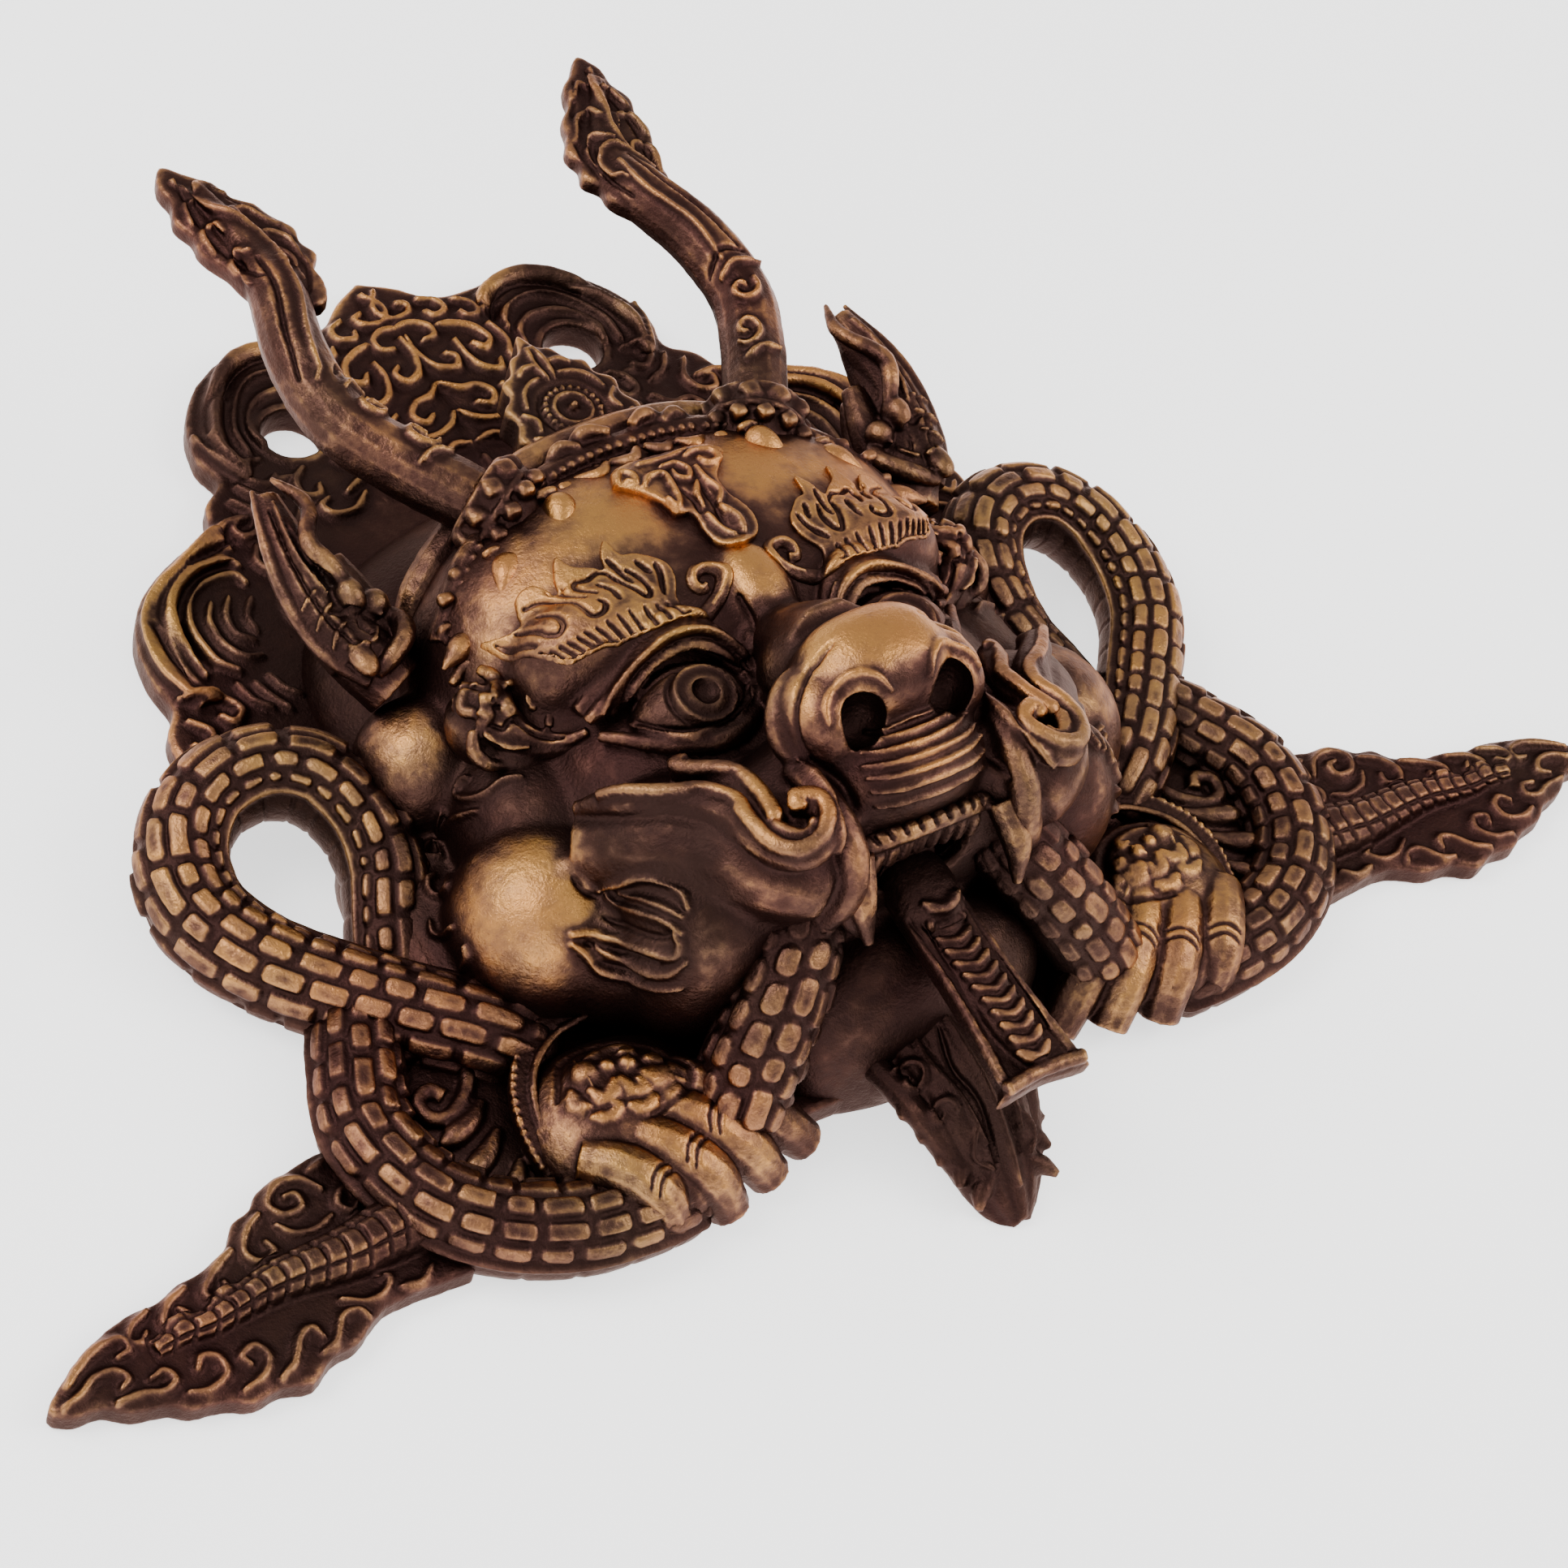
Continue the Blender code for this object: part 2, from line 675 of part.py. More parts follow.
# The leaf below the chin: how far down it reaches, half its width and its height off the back
CHIN_LEAF = [
    (2, 24, 22),
    (-10, 21, 23),
    (-20, 19, 23),
    (-30, 17, 22),
    (-40, 13, 17),
    (-50, 8, 10),
    (-57, 2, 5),
]


def tails_and_leaf():
    """Leaf-shaped tails with a scaled spine, and the leaf below the chin."""
    thick = parts(TAIL_THICKNESS)
    forms = []
    for side in (-1, 1):

        def there(points):
            return [(x * side, y, z) for x, y, z in points]

        edge = [(x * side, y) for x, y in TAIL_EDGE]
        forms.append(slab(edge if side > 0 else edge[::-1], -3, thick, edge=1.6))
        spine = [(138, 4, 8), (152, 1, 9.5), (172, 1, 8.5), (192, -1, 8), (212, -3, 7.5)]
        forms.append(tube(there(spine), (9, 7, 5, 3.6, 1.5)))
        upper = [(140, 21, 7.5), (156, 20, 8), (170, 13, 8), (184, 6, 8), (205, 3, 7.5)]
        lower = [(142, -11, 7.5), (160, -15, 8), (176, -18, 8), (192, -16, 8), (212, -9, 7.5)]
        forms.append(tube(there(upper), (2, 3.2, 3, 3, 1.5)))
        forms.append(tube(there(lower), (2, 3, 3.2, 3, 1.5)))
    forms.append(tube([(0, y, z - 4) for y, half, z in CHIN_LEAF], (9, 8, 7, 6, 5, 4, 2)))
    for side in (-1, 1):
        for share, radius in ((0.45, 5.0), (0.85, 3.6)):
            row = [(side * half * share, y, z - 3 - 5 * share) for y, half, z in CHIN_LEAF]
            forms.append(tube(row, [radius] * 5 + [0.8 * radius, 0.4 * radius]))
        forms.append(tube(spiral((15 * side, -22), 0, 5.5, 1.0, 17, 1.0, 10), 2.0, 2))
    forms.append(ball((0, -6, 9), (24, 12, 16), 2.2))
    return forms


def hollow_forms():
    """The space behind the face, a wall's thickness inside the head."""
    wall = parts(WALL)
    forms = []
    for centre, half, power in HEAD_FORMS:
        inner = [h - wall for h in half]
        forms.append(ball(centre, inner, power, 24, 14))
        skirt = [inner[0] * 0.86, inner[1] * 0.86, centre[2] + 8]
        forms.append(ball((centre[0], centre[1], 0), skirt, 4.0, 24, 10))
    return forms


def mouth_and_nostrils():
    """The open mouth, which runs through to the hollow, and the two nostrils."""
    forms = [ball((0, 16, MOUTH_HEIGHT), (12.5, 18, 5.2), 3.0, 20, 12)]
    for side in (-1, 1):
        forms.append(ball((10.5 * side, 35, 88), (5.5, 8.5, 6.0), 2.0, 16, 10))
    return forms


def horn_seats():
    """Room for each horn where it rises from its collar, with the clearance all round."""
    radius = parts(HORN_DIAMETER) / 2 + 1.2 * parts(HORN_GAP) + 0.4
    forms = []
    for side in (-1, 1):
        forms.append(tube(horn_path(side)[:4], radius, 4, 3))
    return forms


def mask_body():
    """The one casting: all forms run together, then hollowed and cut flat at the back."""
    forms = plate() + head() + nose() + eyes_and_brows() + moustache_and_lip()
    forms += serpents() + hands_and_leaves() + tails_and_leaf()
    forms += crown() + collars_and_ears() + teeth_and_tongue()
    body = fused("mask_body", forms, BODY_SKIN, BODY_TRIANGLES, mask_collection)
    cut(body, cutter("hollow", hollow_forms(), 3.0 * PART, 900))
    cut(body, cutter("mouth", mouth_and_nostrils()))
    cut(body, cutter("horn_seats", horn_seats()))
    bpy.ops.mesh.primitive_cube_add(size=1.0, location=at(0, 100, -20))
    floor = bpy.context.object
    floor.name = "back_plane"
    floor.scale = at(600, 500, 40)
    for collection in list(floor.users_collection):
        collection.objects.unlink(floor)
    cutter_collection.objects.link(floor)
    floor.hide_render = True
    floor.display_type = "WIRE"
    cut(body, floor)
    bronze(body, BRONZE, 0.42)
    return body


HORN_BLADE = [
    (47, 212),
    (40, 228),
    (40.5, 238),
    (48, 252),
    (57, 263),
    (62.5, 268.5),
    (67, 259),
    (67.5, 246),
    (64, 231),
    (60, 217),
]


def horn(name, side):
    """A horn that leans out, bends back and ends in a leaf-shaped blade."""
    radius = parts(HORN_DIAMETER) / 2
    path = horn_path(side)
    widths = [radius * share for share in (1.0, 1.0, 0.98, 0.95, 0.86, 0.62, 0.2)]
    blade = [(x * side + 0.5 * HORN_LEAN, y) for x, y in HORN_BLADE]
    leaf = slab(blade if side > 0 else blade[::-1], 62, 68.5, edge=1.6)
    base_curl = spiral((45, 164), 200, 7, 1.0, 66, 0, 10)
    forms = [
        tube(path, widths, 5, 4),
        leaf,
        tube([(x * side, y, z) for x, y, z in base_curl], 2.2, 2),
    ]
    return fused(name, forms, HORN_SKIN, HORN_TRIANGLES, mask_collection)


def horns():
    """Both horns, cut square where they meet their collars."""
    made = []
    for name, side in (("horn_left", -1), ("horn_right", 1)):
        obj = horn(name, side)
        base = Vector(HORN[0])
        run = (Vector(HORN[1]) - base).normalized()
        base.x *= side
        run.x *= side
        bm = bmesh.new()
        bmesh.ops.create_cube(bm, size=1.0)
        lean = Vector((0, 0, 1)).rotation_difference(run).to_matrix().to_4x4()
        for vert in bm.verts:
            box = Vector((vert.co.x * 60, vert.co.y * 60, vert.co.z * 40 - 20))
            vert.co = at(*base) + (lean @ box) * PART
        mesh = bpy.data.meshes.new("socket")
        bm.to_mesh(mesh)
        bm.free()
        cut(obj, cutter("socket_" + name, [mesh]))
        bronze(obj, HORN_BRONZE, 0.38)
        made.append(obj)
    return made


def centre_on_origin(objects):
    """Move the finished mask so that the middle of its underside is the origin.

    Gives the move, which takes a point of the layout to its place in the finished part.
    """
    for obj in objects:
        settled_materials = list(obj.data.materials)
        settled(obj)
        for material in settled_materials:
            if material.name not in obj.data.materials:
                obj.data.materials.append(material)
    corners = np.array([v.co for obj in objects for v in obj.data.vertices])
    middle = (corners.min(axis=0) + corners.max(axis=0)) / 2
    shift = Vector((-middle[0], -middle[1], -corners[:, 2].min()))
    for obj in objects:
        for vert in obj.data.vertices:
            vert.co += shift
        obj.data.shade_smooth()
        obj.data.set_sharp_from_angle(angle=math.radians(50))
    return shift


start_scene()
body = mask_body()
move = centre_on_origin([body, *horns()])
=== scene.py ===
"""A cast bronze guardian mask with two horns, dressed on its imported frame.

The forms are laid out in millimetres as seen from the front: x across, y up the mask from the
line of the tail tips, z out of the face from its flat back. The last loop takes them to the frame.
"""

import math

import bpy
import numpy as np
from mathutils import Matrix, Vector, noise
from mathutils.bvhtree import BVHTree


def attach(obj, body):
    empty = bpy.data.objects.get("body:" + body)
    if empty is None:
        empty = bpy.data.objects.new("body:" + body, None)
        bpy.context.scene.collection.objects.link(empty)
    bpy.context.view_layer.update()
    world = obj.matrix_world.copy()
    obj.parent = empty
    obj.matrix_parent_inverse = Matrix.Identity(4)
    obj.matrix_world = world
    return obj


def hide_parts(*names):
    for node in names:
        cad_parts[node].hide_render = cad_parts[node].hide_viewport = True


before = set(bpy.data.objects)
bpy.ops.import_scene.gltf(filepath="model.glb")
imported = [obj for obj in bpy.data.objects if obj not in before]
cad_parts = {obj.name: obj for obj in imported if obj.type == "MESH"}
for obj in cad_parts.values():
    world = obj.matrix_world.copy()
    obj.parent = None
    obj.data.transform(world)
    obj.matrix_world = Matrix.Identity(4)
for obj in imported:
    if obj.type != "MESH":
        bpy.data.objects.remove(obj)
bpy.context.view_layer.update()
bpy.ops.object.select_all(action="DESELECT")

MM = 0.001
MOVE = np.array((-0.0000289, -0.10509271, 0.0))
GRAIN = 1.0  # coarser skins while trying things
MOST = 190000  # triangles in one piece
SEAM = 0.01  # the caps of a converted curve lie this close to its sides

ROUND = 6.3  # a full turn and a little over, so that the ends of a ring overlap

pieces = []


def sampled(points, steps):
    """A smooth Catmull-Rom path through rows of numbers, with steps samples a stretch."""
    rows = [np.array(p, dtype=float) for p in points]
    rows = [2 * rows[0] - rows[1], *rows, 2 * rows[-1] - rows[-2]]
    path = []
    for a, b, c, d in zip(rows, rows[1:], rows[2:], rows[3:]):
        for i in range(steps):
            t = i / steps
            path.append(
                0.5
                * (
                    2 * b
                    + (c - a) * t
                    + (2 * a - 5 * b + 4 * c - d) * t * t
                    + (3 * b - a - 3 * c + d) * t**3
                )
            )
    path.append(rows[-2])
    return np.array(path)


def linked(name, data):
    """A new object in the scene."""
    obj = bpy.data.objects.new(name, data)
    bpy.context.scene.collection.objects.link(obj)
    return obj


def only(obj):
    """Make the object the one that operators act on."""
    bpy.ops.object.select_all(action="DESELECT")
    obj.select_set(True)
    bpy.context.view_layer.objects.active = obj
    return obj


def outward(obj, weld=0.0):
    """Turn the faces outwards, after closing seams that are narrower than weld."""
    only(obj)
    bpy.ops.object.mode_set(mode="EDIT")
    bpy.ops.mesh.select_all(action="SELECT")
    if weld:
        bpy.ops.mesh.remove_doubles(threshold=weld)
    bpy.ops.mesh.normals_make_consistent(inside=False)
    bpy.ops.object.mode_set(mode="OBJECT")
    return obj


def bars(rows, steps=5, resolution=3):
    """Round bars in one object; each row is (points, radii)."""
    curve = bpy.data.curves.new("bars", "CURVE")
    curve.dimensions = "3D"
    curve.bevel_depth = 1.0
    curve.bevel_resolution = resolution
    curve.use_fill_caps = True
    for points, radii in rows:
        if not hasattr(radii, "__len__"):
            radii = [radii] * len(points)
        radii = np.interp(
            np.linspace(0, 1, len(points)), np.linspace(0, 1, len(radii)), radii
        )
        path = sampled([(*p, r) for p, r in zip(points, radii)], steps)
        spline = curve.splines.new("POLY")
        spline.points.add(len(path) - 1)
        for point, row in zip(spline.points, path):
            point.co = (*row[:3], 1.0)
            point.radius = max(row[3], 0.2)
    only(linked("bars", curve))
    bpy.ops.object.convert(target="MESH")
    return outward(bpy.context.object, SEAM)


def leaf(outline, low, high, holes=(), steps=4, edge=1.0):
    """A flat leaf of metal between two heights, from a smooth closed outline."""
    curve = bpy.data.curves.new("leaf", "CURVE")
    curve.dimensions = "2D"
    curve.fill_mode = "BOTH"
    curve.extrude = (high - low) / 2 - edge
    curve.bevel_depth = edge
    curve.bevel_resolution = 2
    curve.offset = -edge
    loops = [sampled([*outline, outline[0]], steps)[:-1]]
    for x, y, diameter in holes:
        turn = [2 * math.pi * i / 32 for i in range(32)]
        loops.append(
            [(x + diameter / 2 * math.cos(a), y + diameter / 2 * math.sin(a)) for a in turn]
        )
    for loop in loops:
        spline = curve.splines.new("POLY")
        spline.points.add(len(loop) - 1)
        for point, row in zip(spline.points, loop):
            point.co = (row[0], row[1], 0.0, 1.0)
        spline.use_cyclic_u = True
    obj = only(linked("leaf", curve))
    obj.location = (0, 0, (low + high) / 2)
    bpy.ops.object.convert(target="MESH")
    bpy.ops.object.transform_apply()
    return outward(bpy.context.object, SEAM)


def lumps(rows, segments=32):
    """Rounded lumps in one object; each row is (centre, half sizes, power)."""
    bpy.ops.mesh.primitive_uv_sphere_add(segments=segments, ring_count=segments // 2 + 2, radius=1.0)
    ball = bpy.context.object
    unit = points_of(ball)
    sides = [tuple(face.vertices) for face in ball.data.polygons]
    bpy.data.objects.remove(ball)
    verts = []
    faces = []
    for centre, half, *power in rows:
        power = power[0] if power else 2.0
        swell = (np.abs(unit) ** power).sum(1) ** (-1.0 / power)
        faces += [[v + len(verts) * len(unit) for v in side] for side in sides]
        verts.append(unit * swell[:, None] * half + centre)
    mesh = bpy.data.meshes.new("lumps")
    mesh.from_pydata(np.concatenate(verts).tolist(), [], faces)
    return linked("lumps", mesh)


def turned(obj, centre, axis, degrees):
    """The object's mesh turned about an axis through a point."""
    place = Vector(centre)
    spin = Matrix.Rotation(math.radians(degrees), 4, axis)
    obj.data.transform(Matrix.Translation(place) @ spin @ Matrix.Translation(-place))
    return obj


def curl(x, y, start, radius, turns=1.0, core=0.2, lead=()):
    """Flat points of a scroll that winds inwards from a starting angle in degrees."""
    rows = list(lead)
    count = max(6, int(abs(turns) * 12))
    for i in range(count):
        share = i / (count - 1)
        angle = math.radians(start + 360 * turns * share)
        reach = radius * (1 - (1 - core) * share)
        rows.append((x + reach * math.cos(angle), y + reach * math.sin(angle)))
    return rows


def lifted(points, z):
    """Flat points at one height."""
    return [(*p[:2], z) for p in points]


def flipped(points):
    """The same points on the other side of the mask."""
    return [(-p[0], *p[1:]) for p in points]


def both(rows):
    """Bars or strokes for both sides of the mask."""
    return [*rows, *[(flipped(points), *rest) for points, *rest in rows]]


def both_lumps(rows):
    """Lumps for both sides of the mask."""
    return [*rows, *[((-c[0], c[1], c[2]), *rest) for c, *rest in rows]]


HEAD_FORMS = [
    ((0, 110, 28), (72, 46, 46), 2.5),
    ((0, 64, 26), (66, 50, 41), 2.4),
    ((0, 34, 38), (48, 23, 44), 2.4),
]
WALL = 5.0
BLOCK = 400  # side of the cube that cuts the head off flat at its back


def settle(obj, kind, **values):
    """Add a modifier with the given values and apply it."""
    only(obj)
    modifier = obj.modifiers.new(kind.lower(), kind)
    for key, value in values.items():
        setattr(modifier, key, value)
    bpy.ops.object.modifier_apply(modifier=modifier.name)
    return obj


def cast(name, forms, grain, soften=2, keep_hollow=True):
    """Run the forms together into one skin of that grain and soften it."""
    only(forms[0])
    for form in forms[1:]:
        form.select_set(True)
    if len(forms) > 1:
        bpy.ops.object.join()
    obj = bpy.context.object
    obj.name = name
    obj.data.name = name
    settle(obj, "REMESH", mode="VOXEL", voxel_size=grain * GRAIN)
    if soften:
        settle(obj, "SMOOTH", factor=0.5, iterations=soften)
    if keep_hollow:
        clear_of_hollow(obj)
    pieces.append(obj)
    return obj


def taken(obj, tools):
    """Cut the closed tools out of the object."""
    for tool in tools:
        settle(obj, "BOOLEAN", operation="DIFFERENCE", solver="MANIFOLD", object=tool)
        bpy.data.objects.remove(tool)
    return obj


def triangles(obj):
    """How many triangles the mesh has."""
    return sum(len(p.vertices) - 2 for p in obj.data.polygons)


def unfolded(obj):
    """Drop the pairs of faces that thinning folds onto each other; the skin stays closed."""
    seen = {}
    for face in obj.data.polygons:
        seen.setdefault(tuple(sorted(face.vertices)), []).append(face.index)
    twice = np.zeros(len(obj.data.polygons), bool)
    twice[[i for same in seen.values() if len(same) > 1 for i in same]] = True
    if not twice.any():
        return
    only(obj)
    bpy.ops.object.mode_set(mode="EDIT")
    bpy.ops.mesh.select_all(action="DESELECT")
    bpy.ops.mesh.select_mode(type="FACE")
    bpy.ops.object.mode_set(mode="OBJECT")
    obj.data.polygons.foreach_set("select", twice)
    bpy.ops.object.mode_set(mode="EDIT")
    bpy.ops.mesh.delete(type="FACE")
    bpy.ops.mesh.select_mode(type="VERT")
    bpy.ops.mesh.select_all(action="SELECT")
    bpy.ops.mesh.delete_loose()
    bpy.ops.object.mode_set(mode="OBJECT")


def thinned(obj, most=MOST):
    """Let go of the triangles that the flat parts don't need."""
    count = triangles(obj)
    if count > most:
        settle(obj, "DECIMATE", ratio=most / count)
        unfolded(obj)
    return obj


def points_of(obj):
    """The places of the points of the mesh, one a row."""
    co = np.zeros(len(obj.data.vertices) * 3, np.float32)
    obj.data.vertices.foreach_get("co", co)
    return co.reshape(-1, 3).astype(float)


def normals_of(obj):
    """The directions in which the points of the mesh face."""
    no = np.zeros(len(obj.data.vertices) * 3, np.float32)
    obj.data.vertex_normals.foreach_get("vector", no)
    return no.reshape(-1, 3).astype(float)


def put_points(obj, co):
    """Move the points of the mesh to new places."""
    obj.data.vertices.foreach_set("co", co.astype(np.float32).ravel())
    obj.data.update()


def clear_of_hollow(obj):
    """Push what reaches through the wall of the head back into the wall, and flatten the back."""
    co = points_of(obj)
    for centre, half, power in HEAD_FORMS:
        inner = np.array([h - WALL + 1.2 for h in half])
        offset = (co - centre) / inner
        reach = (np.abs(offset) ** power).sum(1) ** (1 / power)
        inside = (reach < 1) & (co[:, 2] > 0)
        grow = 1 / np.maximum(reach[inside], 0.05)
        co[inside] = np.array(centre) + offset[inside] * grow[:, None] * inner
    co[:, 2] = np.maximum(co[:, 2], 0.0)
    put_points(obj, co)


def tree_of(obj):
    """A search tree over the faces of the object."""
    return BVHTree.FromObject(obj, bpy.context.evaluated_depsgraph_get())


def on_top(tree, x, y, otherwise=8.0):
    """The point of the surface that is seen from the front over x and y."""
    hit = tree.ray_cast(Vector((x, y, 200)), Vector((0, 0, -1)))[0]
    return hit if hit is not None else tree.find_nearest(Vector((x, y, otherwise)))[0]


def carve(obj, strokes):
    """Raise ridges and cut grooves: (points, half width, height, power of the profile).

    Points without a height are laid on the surface from the front.
    """
    co = points_of(obj)
    no = normals_of(obj)
    tree = tree_of(obj)
    high = np.zeros(len(co))
    low = np.zeros(len(co))
    for points, width, height, *power in strokes:
        power = power[0] if power else 2
        path = []
        for p in sampled(points, 5 if len(points) < 14 else 3):
            path.append(tree.find_nearest(Vector(p))[0] if len(p) == 3 else on_top(tree, *p))
        path = np.array(path)
        reach = width * 2.2
        near = np.flatnonzero(((co > path.min(0) - reach) & (co < path.max(0) + reach)).all(1))
        if not len(near):
            continue
        best = np.full(len(near), 1e9)
        share = np.zeros(len(near))
        spot = co[near]
        for i, (a, b) in enumerate(zip(path, path[1:])):
            run = b - a
            if run @ run > 60:
                continue
            t = np.clip(((spot - a) @ run) / max(run @ run, 1e-9), 0, 1)
            gap = np.linalg.norm(spot - a - t[:, None] * run, axis=1)
            closer = gap < best
            best[closer] = gap[closer]
            share[closer] = (i + t[closer]) / (len(path) - 1)
        wide = width * (0.5 + 0.5 * np.clip(5 * np.minimum(share, 1 - share) + 0.2, 0, 1))
        lift = height * np.exp(-((best / wide) ** power) * (1.6 if power == 2 else 1.0))
        if height > 0:
            high[near] = np.maximum(high[near], lift)
        else:
            low[near] = np.minimum(low[near], lift)
    put_points(obj, co + no * (high + low)[:, None])
    return obj


def drape(obj, ground, sink=0.0):
    """Lay a flat piece on the front of another one."""
    tree = tree_of(ground)
    co = points_of(obj)
    for row in co:
        row[2] += on_top(tree, row[0], row[1], 30.0)[2] - sink
    put_points(obj, co)
    return obj


def mirrored(obj, name):
    """A copy of a piece on the other side of the mask, with its own mesh."""
    mesh = obj.data.copy()
    mesh.name = name
    mesh.transform(Matrix.Diagonal((-1, 1, 1, 1)))
    mesh.flip_normals()
    copy = linked(name, mesh)
    pieces.append(copy)
    return copy


LID = [(-53, 78, 59), (-44, 80, 64), (-34, 84, 69), (-23, 83, 72), (-13, 74, 68)]
UNDER = [(-52, 74, 58), (-40, 60, 65), (-28, 56, 67), (-15, 62, 66)]
ROLL = [
    (-66, 60, 54), (-61, 52, 64), (-51, 43, 69), (-45, 33, 73), (-43, 21, 76), (-38, 14.5, 78),
    (-32, 16, 80), (-30, 23, 81), (-35, 26, 81),
]
RIBBONS = [
    [(-66.5, 56, 66), (-61.8, 52.3, 70.9), (-57, 47.1, 73.2), (-50.9, 43.8, 75.2), (-45.8, 40.4, 76.3),
      (-43.9, 34.7, 77.7), (-45.6, 27.3, 80.2), (-46.2, 20.4, 81.5), (-43.9, 15.9, 82.2),
      (-40.4, 13.6, 83.2), (-35.2, 14.5, 84.5), (-30.7, 18.3, 85.5), (-28.7, 23.2, 85.9),
      (-31.5, 26.4, 86), (-36.3, 27.1, 85.2), (-37.5, 24.9, 84.4), (-34.5, 22.8, 84)],
    [(-44.5, 54.5, 71.9), (-47.1, 53.7, 69.9), (-44.8, 48.8, 72.1), (-40.9, 44.7, 76.5),
      (-38.3, 41.3, 77), (-38.4, 34.1, 79.4), (-39.3, 28.5, 80.3), (-40.5, 23, 81), (-38.5, 19, 82),
      (-35, 19.5, 83)],
]
LIP_RIDGES = [
    [(-9.5, 35, 84.2), (-7.8, 31, 89), (-1.2, 30.9, 89.7), (4.5, 31, 89.4), (9.5, 35, 84.2)],
    [(-14, 31.5, 86.7), (-7.5, 28.9, 88.2), (0, 28, 89), (7.5, 28.9, 88.2), (14, 31.5, 86.7)],
    [(-15.2, 29.1, 85.9), (-9.4, 26.1, 87.6), (0, 24.8, 88.6), (9.4, 26.1, 87.8), (15.2, 29.1, 85.9)],
    [(-15.8, 26.3, 84.2), (-10.6, 23.3, 86.6), (0, 22, 87.7), (10.6, 23.3, 86.6), (15.8, 26.3, 84.2)],
    [(-15.9, 23.6, 83.4), (-9.9, 20.7, 85.2), (0, 19.4, 86.1), (9.9, 20.7, 85.2), (15.9, 23.6, 83.4)],
    [(-15.9, 21, 81.7), (-9.4, 18.3, 82.9), (0, 17.2, 83.7), (9.4, 18.3, 82.9), (15.9, 21, 81.7)],
    [(-15.3, 18.7, 78.7), (-8.5, 16.3, 79.9), (0, 15.4, 80.3), (8.5, 16.3, 79.9), (15.3, 18.7, 78.7)],
]
